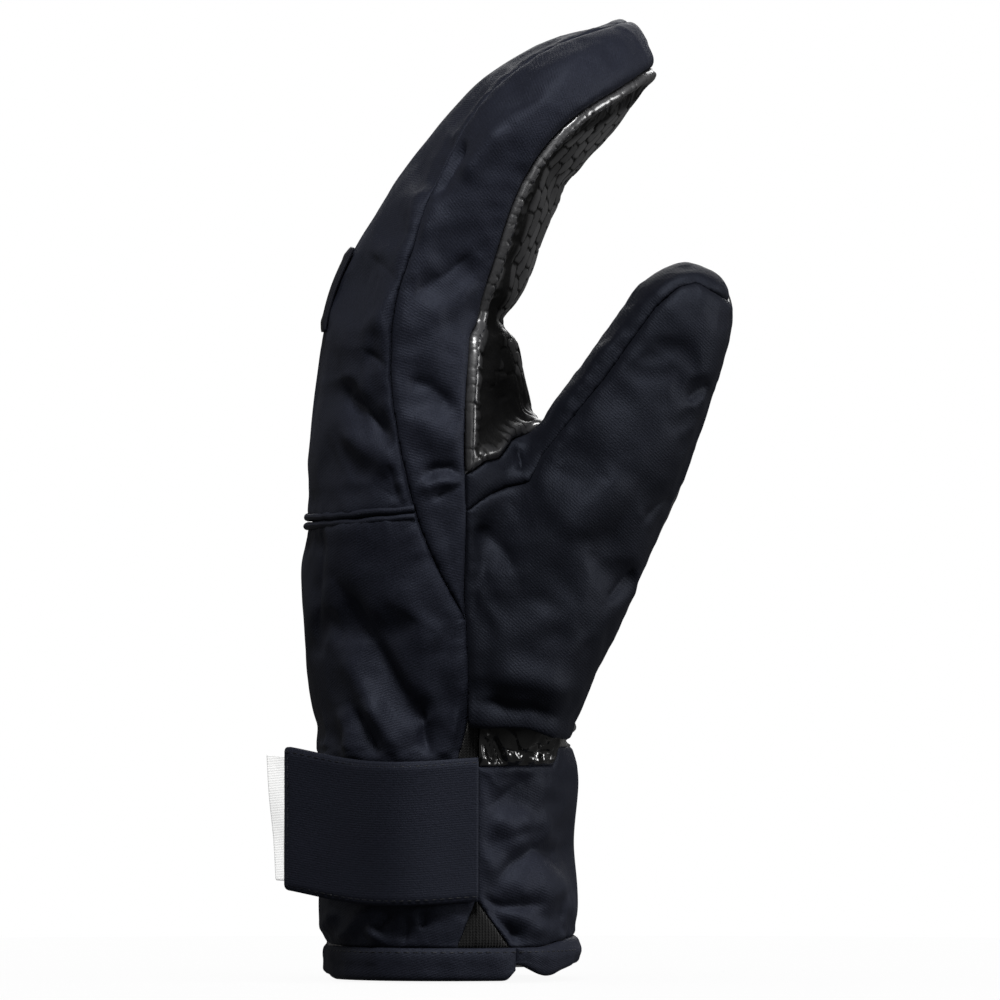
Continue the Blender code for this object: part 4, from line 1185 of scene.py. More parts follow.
# A fold: the side it is on (-1 thumb's side, 1 the other, 0 both), the width of its roll, its
# height, which is negative for a crease, and its line as (x, z), all in millimetres.
FOLDS = (
    # Back of the hand, above the piping.
    (-1, 4.2, -3.4, (-45, 163), (-43, 157), (-35, 150), (-25.8, 144)),
    (-1, 3.4, 2, (-44, 150), (-36, 142.5), (-28, 137)),
    (-1, 2.8, -1.5, (-38, 169), (-34, 167), (-28.4, 164)),
    (-1, 2.4, -1.4, (-30.1, 139.6), (-28.7, 133.7), (-26.6, 128.5)),
    (-1, 2.2, 1.3, (-27.4, 136), (-25.4, 132), (-23.9, 128.6)),
    (0, 5, 1.1, (-44, 186), (-37, 180), (-28, 176)),
    (0, 4, -1.1, (-38, 196), (-30, 190), (-25, 186)),
    (0, 5, 1, (-28, 214), (-20, 206), (-18, 198)),
    (1, 4, -2, (-44, 150), (-34, 157), (-25, 160)),
    (1, 3, -1.5, (-42, 134), (-33, 138), (-27, 143)),
    # Side strip.
    (-1, 2.2, -2, (-21.4, 135), (-17.7, 137.4), (-13.3, 138), (-9.6, 135.5)),
    (-1, 2.2, 1.8, (-22.8, 131.8), (-16.5, 134), (-9.3, 133.6)),
    (-1, 1.6, -1.3, (-18.9, 128.9), (-14.4, 132), (-8.8, 133.4)),
    (-1, 5, -2.4, (-26, 162), (-19, 159.5), (-10, 152)),
    (-1, 4, 1.7, (-24, 152.5), (-17, 147.5), (-10, 143.5)),
    (0, 4.6, -2.2, (-24.4, 183), (-15, 188.5), (-6, 195.5)),
    (0, 4, 1.6, (-23, 176), (-13, 182), (-5, 188)),
    (0, 3.4, -4.2, (-19.5, 210), (-16.5, 216), (-13.5, 221.5), (-10, 227.5)),
    (0, 3.4, 2.2, (-12, 214.5), (-5, 222), (2, 230.5)),
    (0, 8, 1, (0, 219), (10, 232), (24, 247)),
    (1, 3, -1.8, (-22, 140), (-16, 144), (-9, 146)),
    (1, 3, -1.5, (-20, 112), (-14, 106), (-9, 104)),
    # Lower back.
    (0, 4.4, -3, (-45.7, 108.3), (-40.6, 101), (-34.5, 92.6), (-27.1, 78), (-21.7, 67.2)),
    (0, 4.2, 1.3, (-41.4, 106.2), (-29, 88), (-19.8, 71.9)),
    (0, 3, 1.2, (-45.2, 91.5), (-37, 79), (-31, 66)),
    (-1, 1.8, -1.2, (-48.4, 122.6), (-49.2, 113.1), (-50, 102.3), (-49.2, 88.8)),
    (0, 2.2, 1.7, (-43.3, 74.6), (-40.6, 67), (-39.5, 58)),
    (0, 2.5, 1.9, (-36.3, 77.3), (-31.5, 69), (-27.1, 60.3)),
    (0, 2.2, -2, (-40, 74), (-36.5, 67), (-33, 60)),
    (0, 3.6, -3.6, (-23.7, 76.3), (-20.5, 68), (-19, 60)),
    (-1, 2.4, 1.6, (-10.4, 74.6), (-13, 67), (-16.3, 60.3)),
    (0, 7, 1.2, (-26, 112), (-22, 100), (-17, 88)),
    # Thumb.
    (-1, 5, -1.8, (-7.5, 123.5), (-1, 117.5), (5, 108)),
    (-1, 6.5, 1.3, (-5, 112), (6, 103), (14, 92)),
    (-1, 2.6, -3.2, (-6.5, 75.8), (1, 74.2), (8, 73.8), (17, 71)),
    (-1, 4.6, 2.2, (-4.5, 82.5), (8, 80.9), (21.2, 77.3)),
    (-1, 2.4, -1.6, (37.1, 110.5), (33, 106.5), (29.1, 101.3)),
    (-1, 2.4, -1.5, (47.8, 130), (44, 127.3), (39.4, 122.9)),
    (-1, 2.4, -1.3, (57.6, 160.1), (54, 158.5), (50.2, 155.3)),
    (-1, 9, 1.5, (16, 118), (23.4, 128), (31, 140)),
    (-1, 6, -1, (26, 114), (34, 124), (42, 138)),
    (-1, 1.2, -1.6, (4.6, 144.5), (5.2, 140.9), (5.3, 137)),
    (-1, 2.2, 1, (12, 148), (24, 164), (33, 176)),
    # Cuff, beside the strap's root.
    (-1, 5, -2, (10, 56), (3.6, 51), (-4, 46)),
    (-1, 3.4, 1.6, (-2.2, 45), (3.1, 42), (10, 44)),
    (-1, 4.5, -0.9, (-6.4, 35), (1.5, 38.5), (10.5, 41)),
    (-1, 4, 1.8, (-6.5, 30), (1, 34.3), (10.6, 40.6)),
    (-1, 4.2, -3.2, (-1.4, 26), (4, 32.4), (10, 36), (15.5, 34.4), (20, 24.5)),
    (-1, 6, 2.4, (1.5, 21.5), (10, 26.5), (17.5, 21)),
    (-1, 2.4, -2.2, (-6.2, 23.6), (1.1, 20.4), (11, 21)),
    (-1, 2.2, -2.8, (-5, 20.3), (1.7, 15), (6.4, 10.7)),
    (-1, 2.4, 1.2, (-0.6, 21), (7, 16.5), (13, 12.5)),
    (-1, 1.6, -1.2, (15.7, 20.2), (17, 15), (17.9, 10.1)),
    (1, 3, -2.2, (12, 50), (4, 44), (-4, 40)),
    (1, 3, -2.4, (16, 30), (6, 26), (-2, 18)),
    # Cuff, below the strap.
    (0, 1.8, 1.6, (-44, 9.5), (-40, 14.5), (-35.7, 20.7)),
    (0, 1.6, 1.4, (-47.6, 12.4), (-44.2, 19.9)),
    (0, 1.3, 1.3, (-36, 15.6), (-33, 12.3), (-29.8, 7.6)),
    (-1, 2, -1.9, (-29.7, 19.4), (-31.5, 17), (-33.6, 14.6)),
    (-1, 1.6, -1.7, (-21, 20), (-20.6, 14.4)),
    (0, 2.2, -1.4, (-26, 19), (-25, 14), (-26, 10)),
)


def folded(points, y):
    """How far the folds lift or sink each point."""
    total = np.zeros(len(points))
    for side, width, height, *line in FOLDS:
        width, height = width / 1000, height / 1000
        away, share, _ = nearest_on(line, points[:, 0], points[:, 2])
        ends = smooth(0.0, 0.28, share) * smooth(0.0, 0.28, 1 - share)
        shape = bell(away, width)
        if height < 0:
            soft = 0.22 * width
            shape = np.exp(-(np.hypot(away, soft) - soft) / (0.60 * width))
        there = height * shape * (0.2 + 0.8 * ends)
        if side:
            there = there * smooth(0.0, 0.012, side * y)
        total += there
    return total


def undulations(points):
    """The soft slanting unevenness of padded cloth."""
    x, y, z = points.T
    slow = np.stack([(x + z) * 0.9, y * 1.2, (z - x) * 0.35], 1)
    cross = np.stack([(x - z) * 0.8, y, (z + x) * 0.3], 1)
    return 0.65 * drift(slow, 0.013, 3) + 0.35 * drift(cross, 0.009, 5)


# ---- Building panels ---------------------------------------------------------------------------


def boundary(mesh):
    """The indices of the vertices on the mesh's open edge, and each one's running length."""
    count = {}
    for face in mesh.polygons:
        for key in face.edge_keys:
            count[key] = count.get(key, 0) + 1
    joined = {}
    for (a, b), uses in count.items():
        if uses == 1:
            joined.setdefault(a, []).append(b)
            joined.setdefault(b, []).append(a)
    run, order = {}, []
    for start in sorted(joined):
        if start in run:
            continue
        here, done = start, 0.0
        while here is not None:
            run[here] = done
            order.append(here)
            onward = [other for other in joined[here] if other not in run]
            if onward:
                step = mesh.vertices[onward[0]].co - mesh.vertices[here].co
                done += step.length
            here = onward[0] if onward else None
    return np.array(order), np.array([run[index] for index in order])


class Panel:
    """One cut piece of cloth or leather, being worked."""

    def __init__(self, name):
        self.piece = skin().panel(name)
        self.mesh = self.piece.data
        self.points = places(self.mesh)
        self.field = {field: take_attribute(self.mesh, field) for field in skin().values}
        self.out = unit(np.stack([self.field["out_" + axis] for axis in "xyz"], 1))
        self.height, self.share, self.y = (self.field[key] for key in ("height", "share", "y"))
        order, run = boundary(self.mesh)
        tree = KDTree(len(order))
        for index, point in enumerate(self.points[order]):
            tree.insert(point, index)
        tree.balance()
        found = [tree.find(point)[1:] for point in self.points]
        nearest = np.array([index for index, _ in found])
        self.inset = np.array([away for _, away in found])
        self.run = run[nearest]
        self.edge_point = self.points[order][nearest]
        self.lift = np.zeros(len(self.points))

    def roll(self, radius, depth, fade=1.0):
        """Cloth that turns down into its seams."""
        t = np.clip(self.inset / radius, 0, 1)
        self.lift -= depth * fade * (1 - np.sqrt(np.maximum(0, 1 - (1 - t) ** 2)))

    def pucker(self, height, pitch, reach, seed=1, where=1.0):
        """Short gathers that run in from the seams."""
        spots = self.edge_point
        wave = drift(spots, pitch, seed) + 0.5 * drift(spots, pitch * 0.55, seed + 9)
        fade = np.exp(-self.inset / reach) * smooth(0, 0.0012, self.inset)
        self.lift += height * wave * fade * where

    def gather(self, at, height, pitch, reach, seed, rise=1.0):
        """Upright gathers that run away from a level seam at this height."""
        spots = self.points * (1, 1, 0.12)
        wave = drift(spots, pitch, seed) + 0.6 * drift(spots, pitch * 0.5, seed + 4)
        away = np.abs(self.height - at)
        self.lift += height * rise * wave * np.exp(-away / reach) * smooth(0, 0.0015, away)

    def sink(self, depth, share=1.0):
        """Draws the middle of the piece in, but not its seams."""
        self.lift -= depth * share * smooth(0.0, 0.008, self.inset)

    def fold(self, share):
        self.lift += folded(self.points, self.y) * smooth(0.0, 0.0035, self.inset) * share

    def drape(self, height, free=1.0, reach=0.006):
        """Uneven padding and folds, where the cloth is free."""
        self.lift += height * undulations(self.points) * smooth(0.0, reach, self.inset) * free
        self.fold(free)

    def map_cloth(self, across, along):
        """Lays the weave out flat: metres across it, and along it."""
        self.across, self.along = across, along
        put_uv(self.mesh, across, along)

    def map_ring(self, from_back):
        """Cloth laid round the tube."""
        turns = np.linspace(0, math.pi, 181)
        length = run_length(HAND.point(0.12, turns))
        around = np.interp(HAND.angle(self.share), turns, length)
        if from_back:
            around = length[-1] - around
        flat = smooth(0.035, 0.015, np.abs(self.y))
        across = np.sign(self.y + TINY) * around * (1 - flat) + self.y * flat
        self.map_cloth(across, self.height)

    def map_side(self):
        """Cloth that lies flat on the glove's side."""
        s = np.linspace(-0.02, HAND.length, 320)
        run = run_length(np.stack([s, HAND.half_sizes(s)[1]], 1)) + s[0]
        across = self.share * HAND.thickness(self.height)
        self.map_cloth(across, np.interp(self.height, s, run))

    def map_thumb(self, from_side=False):
        """Cloth that lies flat on the thumb, or leather that runs on from its side."""
        c, n = math.cos(THUMB_GRAIN), math.sin(THUMB_GRAIN)
        x, _, z = self.points.T
        across = x * c - z * n
        self.map_cloth(self.y - across if from_side else across, x * n + z * c)

    def done(self, look, slot, thickness, nodes, fill=None, body=None):
        """Settles the cloth into its shape, thickens it, gives it its material, hides the nodes it
        replaces and attaches it to its body.
        """
        place_all(self.mesh, self.points + self.out * self.lift[:, None])
        thicken(self.piece, thickness)
        finish_piece(self.piece, look, nodes)
        if body:
            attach(self.piece, body)


def bend(piece, tube, station, reach, body):
    """Bakes the piece's transform into its mesh; the joint's ends are worked out but not used."""
    x, z, lean = tube.spine(tube.at(station))
    step = np.array([math.sin(lean), 0.0, math.cos(lean)]) * reach
    middle = np.array([x, tube.middle_y, z])
    tuple(middle - step)
    tuple(middle + step)
    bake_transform(piece)


def bend_fingers(piece):
    bend(piece, HAND, FINGER_JOINT, 0.014, "fingers")


def bend_thumb(piece):
    bend(piece, THUMB, THUMB_JOINT, 0.012, "thumb")


SHELL = 0.0009
TIP_EASE = 0.35
HEM_THICKNESS = 0.0021
KNIT_THICKNESS = 0.0011
THUMB_GRAIN = math.radians(24)


def fabric_panel(name, sink, pucker, drape, gathers=(), tip_ease=0.0):
    """A fabric panel with rolled seams, which the fingertips make shallower by tip_ease.

    Sink is how far its middle is drawn in, pucker the pitch, reach and seed of the gathers beside
    its seams, and drape the height of its soft undulations.
    """
    sizes = bpy.context.scene.mitten_shape
    panel = Panel(name)
    far = smooth(HAND.at(4.15), HAND.at(4.5), panel.height)
    far = far * (panel.field["back"] < -panel.field["palm"])
    panel.roll(sizes.seam_radius, sizes.seam_depth, 1 - tip_ease * far)
    panel.sink(sink)
    panel.pucker(0.0003, *pucker)
    for gather in gathers:
        panel.gather(*gather)
    panel.drape(drape)
    return panel


def build_back():
    piping = HAND.at(PIPING_STATION)
    gathers = (
        (piping, 0.0004, 0.0030, 0.004, 2),
        (CUFF_HEIGHT + 0.004, 0.0007, 0.0075, 0.014, 6),
    )
    lower = fabric_panel("lower_back_panel", 0.0007, (0.0035, 0.005), 0.0005, gathers=gathers)
    lower.map_ring(from_back=True)
    lower.done("shell", "shell", SHELL, ["lower_back_panel"], 0.5, "hand")
    gathers = [(piping, 0.0003, 0.0055, 0.005, 8)]
    back = fabric_panel("back_panel", 0.0013, (0.0042, 0.006), 0.0006, gathers, TIP_EASE)
    back.map_ring(from_back=True)
    nodes = ["back_panel_hand", "back_panel_fingers", "filling_back", "membrane_hand"]
    back.done("shell", "shell", SHELL, nodes, 0.6)
    bend_fingers(back.piece)
    SHARED["back"] = back.piece
    strip = fabric_panel("side_strip", 0.0008, (0.0045, 0.005, 3), 0.0004, tip_ease=TIP_EASE)
    strip.map_side()
    nodes = ["thumb_side_strip", "outer_side_strip", "side_strip_fingers"]
    nodes += ["filling_fingers", "membrane_fingers"]
    strip.done("shell", "shell", SHELL, nodes, 0.6)
    bend_fingers(strip.piece)


def build_thumb():
    panel = fabric_panel("thumb_panel", 0.0008, (0.0045, 0.006, 4), 0.0006)
    x, inset = panel.points[:, 0], panel.inset
    hang = above_wrist(panel.height, x)
    inner = 1 - smooth(0.010, 0.021, x)
    panel.lift += 0.0028 * bell(hang - 0.0035, 0.0035) * smooth(0.0, 0.002, inset) * inner
    panel.points[:, 2] -= 0.0022 * bell(hang - 0.0020, 0.0022) * smooth(0.0, 0.0015, inset)
    nodes = ["thumb_outer_panel", "thumb_base_panel", "filling_thumb", "membrane_thumb"]
    lay_on_thumb(panel, nodes)
    strip = fabric_panel("thumb_strip", 0.0, (0.0045, 0.005, 5), 0.0005)
    lay_on_thumb(strip, ["thumb_inner_strip"])


def lay_on_thumb(panel, nodes):
    panel.map_thumb()
    # The thumb's fabric takes the darker twill: painted shade.
    panel.done("thumb", "shell", SHELL, nodes, 0.6)
    bend_thumb(panel.piece)


def scales(across, along, width, length):
    """Rounded embossed tiles in staggered rows: (groove, tone of the tile, dome), each 0 to 1."""
    row = np.floor(across / width)
    best = second = np.full(len(across), 9.0)
    tone = np.zeros(len(across))
    for i in (-1, 0, 1):
        for j in (-1, 0, 1):
            r = row + i
            stagger = 0.5 * np.mod(r, 2)
            c = np.floor(along / length + stagger) + j
            seed = np.modf(np.abs(np.sin(r * 12.9898 + c * 78.233) * 43758.5453))[0]
            other = np.modf(np.abs(np.sin(r * 39.346 + c * 11.135) * 24634.6345))[0]
            du = across / width - (r + 0.5 + 0.34 * (seed - 0.5))
            dv = along / length + stagger - (c + 0.5 + 0.50 * (other - 0.5))
            away = (np.abs(du) ** 4 + np.abs(dv) ** 4) ** 0.25
            closer = away < best
            second = np.where(closer, best, np.minimum(second, away))
            tone = np.where(closer, seed, tone)
            best = np.where(closer, away, best)
    gap = (second - best) * min(width, length)
    return 1 - smooth(0.0001, 0.0008, gap), tone, 1 - smooth(0.0, 0.7, best)


def leather_panel(name, nodes, depth, puffs):
    """Tiled leather: puffs says how far its welt and crimps stand up along its seams."""
    sizes = bpy.context.scene.mitten_shape
    leather = Panel(name)
    points, inset = leather.points, leather.inset
    x, y, z = points.T
    leather.roll(0.0022, sizes.seam_depth)
    leather.sink(depth, 1 - 0.8 * bell(z - 0.177, 0.020))
    leather.fold(0.3)
    if puffs:
        leather.map_ring(from_back=False)
    else:
        leather.map_thumb(from_side=True)
    wavy = 0.0016 * drift(points, 0.016, 22)
    grid = (leather.across + wavy, leather.along + 0.8 * wavy)
    groove, tone, dome = scales(*grid, sizes.scale_width, sizes.scale_length)
    seen = smooth(0.0070, 0.0115, inset)
    groove = groove * seen
    leather.lift += (0.00016 * dome - 0.00030 * groove + 0.00022 * (tone - 0.5)) * seen
    run = leather.run + 0.0002 * drift(leather.edge_point, 0.006, 19)
    notch = smooth(0.80, 0.98, np.abs(np.mod(run / 0.0025, 1.0) - 0.5) * 2)
    welt = bell(inset - 0.0021, 0.0017)
    leather.lift += puffs * welt * (0.0009 - 0.0003 * notch)
    lines = np.stack([run, run * 0, inset * 0.16], 1)
    crimp = drift(lines, 0.0010, 12) + 0.6 * drift(lines, 0.0019, 13)
    reach = smooth(0.0014, 0.0034, inset) * smooth(0.0130, 0.0060, inset)
    leather.lift += puffs * 0.00028 * crimp * reach
    leather.lift += 0.0004 * drift(points, 0.014, 21) * smooth(0, 0.006, inset)
    # Painted shade: the crotch hollow beside the thumb, the sunken band inside the welt and the
    # valleys of the crimps are darkened and lose gloss. The welt, its stitch notches and each
    # tile's random tone darken the leather too.
    crotch_shade = bell(np.hypot(x - 0.004, z - 0.148), 0.030) * smooth(-0.006, -0.026, y)
    band = smooth(0.0042, 0.0062, inset) * smooth(0.0150, 0.0105, inset)
    darkening_and_shade = (0.40 - 0.30 * puffs) * welt + 0.56 * band + 0.50 * tone * seen
    darkening_and_shade += 0.50 * notch * welt + (0.15 + 0.2 * puffs) * smooth(0.4, -0.6, crimp) * reach
    darkening_and_shade += (0.35 + 0.35 * smooth(0.0020, 0.0045, inset)) * crotch_shade
    # The groove attribute takes the tile grooves together with this darkening, painted shade
    # included.
    put_attribute(leather.mesh, "groove", np.clip(groove + darkening_and_shade, 0, 1))
    leather.done("leather", "leather", 0.0010, nodes, 0.5)
    SHARED[name] = leather.piece
    return leather.piece


def build_leather():
    nodes = ["palm_leather_hand", "palm_leather_fingers", "filling_palm"]
    bend_fingers(leather_panel("palm_leather", nodes, 0.0024, 1.0))
    nodes = ["thumb_leather", "thumb_base_leather"]
    bend_thumb(leather_panel("thumb_leather", nodes, 0.0012, 0.0))


def build_cuff():
    sizes = bpy.context.scene.mitten_shape
    for name, slot, thickness in (
        ("cuff_back_panel", "shell", SHELL),
        ("cuff_palm_panel", "shell", SHELL),
        ("cuff_back_hem", "shell", HEM_THICKNESS),
        ("cuff_palm_hem", "shell", HEM_THICKNESS),
        ("cuff_gusset", "knit", KNIT_THICKNESS),
        ("wrist_knit_gusset", "knit", KNIT_THICKNESS),
    ):
        panel = Panel(name)
        fill = None
        panel.roll(0.0024, sizes.seam_depth * 0.6)
        if slot == "knit":
            panel.lift -= 0.0004
            panel.gather(HEM_HEIGHT, 0.0003, 0.003, 0.02, 31)
        elif name.endswith("hem"):
            panel.lift += 0.0005
            panel.pucker(0.0003, 0.0040, 0.004, 14)
            panel.lift += 0.0004 * drift(panel.points * (1, 1, 0.4), 0.006, 17)
            curl_hem(panel, name == "cuff_palm_hem")
        else:
            free = 1 - smooth(0.020, 0.026, panel.height) * smooth(0.66, 0.60, panel.share)
            panel.gather(HEM_HEIGHT, 0.0005, 0.0045, 0.008, 15, free)
            panel.pucker(0.0004, 0.0038, 0.005, 16, free)
            panel.drape(0.0003, free, 0.005)
            fill = 0.2
        panel.map_ring(from_back="palm" not in name)
        panel.done(slot, slot, thickness, [name], fill, "hand")
        SHARED[name] = panel.piece
    build_wrist_leather()


def build_wrist_leather():
    """Thin leather that an elastic gathers into fine crossing ridges."""
    leather = Panel("wrist_leather")
    inset = leather.inset
    leather.roll(0.0016, bpy.context.scene.mitten_shape.seam_depth * 0.5)
    x, y, z = leather.points.T
    slant = np.stack([x + 0.4 * z, y, z * 0.36], 1)
    ridges = 1 - np.abs(drift(slant, 0.0034, 41)) * 2.2
    tangle = 1 - np.abs(drift(slant * (1, 1, 0.7), 0.0026, 43)) * 2.2
    low = smooth(0.0675, 0.0640, leather.height)
    ease = smooth(0, 0.0022, inset) * (1 - 0.8 * smooth(0.013, 0.019, x))
    leather.lift += (0.0012 * ridges + 0.0012 * tangle * (0.3 + 0.7 * low) - 0.0004) * ease
    far = np.maximum(smooth(0.012, 0.021, x), 0.7 * smooth(0.0, 0.020, y))
    leather.lift -= 0.0022 * far * smooth(0, 0.0015, inset)
    # Darker and matt above the gathers: painted shade under the thumb's overhanging roll, on a
    # duller finish.
    put_attribute(leather.mesh, "groove", 0.9 * (1 - low))
    leather.map_ring(from_back=False)
    nodes = ["wrist_leather", "wrist_elastic"]
    leather.done("gathered_leather", "gathered_leather", 0.0008, nodes, body="hand")


def curl_hem(panel, on_palm):
    """The hem's lower edge curls up at the slit and at the outline."""
    low = 1 - np.clip(panel.height / HEM_HEIGHT, 0, 1)
    if on_palm:
        slit = bell(panel.field["slit"], 0.0052)
        palm = smooth(0.012, 0.0215, panel.points[:, 0])
        rise = 0.0013 + 0.0036 * slit + 0.0034 * palm
    else:
        slit = bell(panel.field["slit"], 0.0016)
        rise = 0.0006 + 0.0022 * slit + 0.0012 * smooth(0.95, 1.0, 1 - panel.share)
    panel.points[:, 2] += low * rise


# ---- Lining ------------------------------------------------------------------------------------


def build_lining():
    def depth(s):
        in_hem = 0.0015 + 0.0007 * smooth(0.0065, 0.0095, s)
        return in_hem + 0.0052 * smooth(0.010, 0.022, s) + 0.0022 * smooth(0.048, 0.074, s)

    hand = HAND.closed_mesh(0.0005, depth, 96, 0.002)
    thumb = THUMB.closed_mesh(0.020, evenly(0.0096), 40)
    piece = voxelled("lining", (hand, thumb), LINING_VOXEL)
    mesh = piece.data
    place_all(mesh, relaxed(places(mesh), edges_of(mesh), 5, 0.5))
    shape = bmesh.new()
    shape.from_mesh(mesh)
    whole = shape.verts[:] + shape.edges[:] + shape.faces[:]
    opening = {"plane_co": (0, 0, 0.0042), "plane_no": (0, 0, 1)}
    bmesh.ops.bisect_plane(shape, geom=whole, clear_inner=True, **opening)
    bmesh.ops.reverse_faces(shape, faces=shape.faces[:])
    shape.to_mesh(mesh)
    shape.free()
    mesh.shade_smooth()
    points = places(mesh)
    wave = 0.0011 * drift(points * (1, 1, 0.5), 0.014, 51) + 0.0005 * drift(points, 0.005, 52)
    inward = (wave + 0.0006) * smooth(0.006, 0.014, points[:, 2])
    place_all(mesh, points + normals(mesh) * inward[:, None])
    thicken(piece, 0.0009)
    nodes = ("lining_hand", "lining_fingers", "lining_thumb", "cuff_lining")
    finish_piece(piece, "lining", nodes)
    bend_fingers(piece)


# ---- Strap, label and touch fastener -----------------------------------------------------------

STRAP_LENGTH = 0.0540
STRAP_HEIGHT = 0.0385
STRAP_FREE = 0.0280
STRAP_MIDDLE = 0.0412
STRAP_CLIMB = math.tan(math.radians(3.0))
STRAP_THICKNESS = 0.0018
TAPE_LENGTH = 0.0270
TAPE_START = STRAP_LENGTH - 0.0025 - TAPE_LENGTH


class StrapPath:
    """The strap's way round the cuff from its root, then straight on past the back."""

    def __init__(self):
        root = 2 * math.pi - float(HAND.angle(STRAP_ROOT_ACROSS))
        points = HAND.point(STRAP_MIDDLE, np.arange(root, root - 2.0, -0.01))[:, :2]
        run = run_length(points)
        last = np.searchsorted(run, STRAP_LENGTH - STRAP_FREE)
        self.run, self.points = run[: last + 1], points[: last + 1]
        self.ahead = unit(self.points[-1] - self.points[-3])

    def spot(self, distance):
        return np.stack([np.interp(distance, self.run, part) for part in self.points.T], -1)

    def place(self, distance, lift):
        """Points at a distance along the strap, lifted off the cuff."""
        end = self.run[-1]
        after = np.minimum(np.clip(distance, 0, end) + 5e-4, end)
        along = unit(self.spot(after) - self.spot(np.maximum(after - 1e-3, 0)))
        along = np.where((distance > end)[..., None], self.ahead, along)
        side = np.stack([-along[..., 1], along[..., 0]], -1)
        beyond = self.ahead * np.maximum(distance - end, 0)[..., None]
        return self.spot(distance) + beyond + side * lift[..., None]


def on_strap(distance, up, lift):
    """Points on the strap, at a distance from its root and a height from its middle."""
    if "path" not in SHARED:
        SHARED["path"] = StrapPath()
    away = smooth(0, TAPE_START - 0.0025, distance)
    lift = lift + (0.0006 + 0.0024 * away) + 0.0008 * np.sin(distance * 90)
    spot = SHARED["path"].place(distance, lift)
    bow = -0.0024 * np.sin(np.pi * np.clip(distance / STRAP_LENGTH, 0, 1)) ** 1.2
    z = STRAP_MIDDLE + distance * STRAP_CLIMB + up + bow
    return np.concatenate([spot, z[..., None]], -1)


def slab(name, place, size, thickness, steps, corner, bulge):
    """A soft-edged strip with round far corners: place(distance, up, lift) gives its points."""
    length, height = size
    columns, rows = steps
    uu, vv = np.meshgrid(np.linspace(0, 1, columns + 1), np.linspace(0, 1, rows + 1))
    distance, up = uu * length, (vv - 0.5) * height
    far = np.maximum(0, distance - (length - corner)) / corner
    tall = np.maximum(0, np.abs(up) - (height / 2 - corner)) / corner
    radius = np.maximum(np.hypot(far, tall), TINY)
    squeeze = np.where((far > 0) & (tall > 0), np.maximum(far, tall) / radius, 1.0)
    distance = np.where(far > 0, length - corner + far * corner * squeeze, distance)
    up = np.where(tall > 0, np.sign(up) * (height / 2 - corner + tall * corner * squeeze), up)
    edge = np.minimum(length - distance, height / 2 - np.abs(up))
    inner = place(distance, up, bulge(distance, up, edge, False))
    outer = place(distance, up, thickness + bulge(distance, up, edge, True))
    piece = plate(name, inner, outer)
    put_uv(piece.data, np.tile(distance.ravel(), 2), np.tile(up.ravel(), 2))
    return piece


def flat_noise(across, up, size, seed):
    """Noise over a flat grid of places."""
    spots = np.stack([across, up, across * 0], -1).reshape(-1, 3)
    return drift(spots, size, seed).reshape(across.shape)


def build_strap():
    def swell(distance, up, edge, outside):
        ripple = 0.00035 * flat_noise(distance, up * 0.6, 0.012, 61)
        rim = 0.0007 * (1 - smooth(0.0, 0.0016, edge))
        groove = bell(edge - 0.0011, 0.00045)
        crown = 0.0001 - rim - 0.00018 * groove + 0.0002 * np.exp(-edge / 0.0007)
        return ripple + (crown if outside else rim * 0.3)

    def on_tape(distance, up, lift):
        return on_strap(distance + TAPE_START, up, lift - 0.0012)

    def fuzz(distance, up, edge, outside):
        return 0.00012 * flat_noise(distance, up, 0.0009, 62)

    def on_end(distance, up, lift):
        tall = up / 0.034
        along = distance * (1 + 0.12 * tall) + STRAP_LENGTH - 0.0012 + 0.0024 * (tall - 0.1)
        return on_strap(along, up, lift + 0.0005)

    def crease(distance, up, edge, outside):
        return 0.00025 * np.sin(up * 260) * smooth(0, 0.004, distance)

    size = (STRAP_LENGTH, STRAP_HEIGHT)
    strap = slab("strap", on_strap, size, STRAP_THICKNESS, (76, 56), 0.0014, swell)
    finish_piece(strap, "strap", ["strap"], "strap")
    size = (TAPE_LENGTH, STRAP_HEIGHT - 0.005)
    tape = slab("strap_hook_tape", on_tape, size, 0.0009, (40, 44), 0.001, fuzz)
    finish_piece(tape, "hook_and_loop", ["strap_hook_tape"], "strap")
    label = slab("strap_label", on_end, (0.0056, 0.0338), 0.0007, (14, 60), 0.0004, crease)
    finish_piece(label, "label", ["strap_label"], "strap")
    build_loop_field()


def build_loop_field():
    edge = float(HAND.angle(0.40))
    turns = np.linspace(edge, 2 * math.pi - edge, 170)
    heights = np.linspace(0.0242, 0.0582, 58)[:, None]
    inner = HAND.point(heights, turns, -0.0005)
    shape = inner.shape[:2]
    fuzz = 0.00018 * drift(inner.reshape(-1, 3), 0.0011, 63).reshape(shape)
    piece = plate("loop_field", inner, HAND.point(heights, turns, -0.0013 - fuzz))
    finish_piece(piece, "hook_and_loop", ["loop_field"], "hand")


# ---- Trim --------------------------------------------------------------------------------------


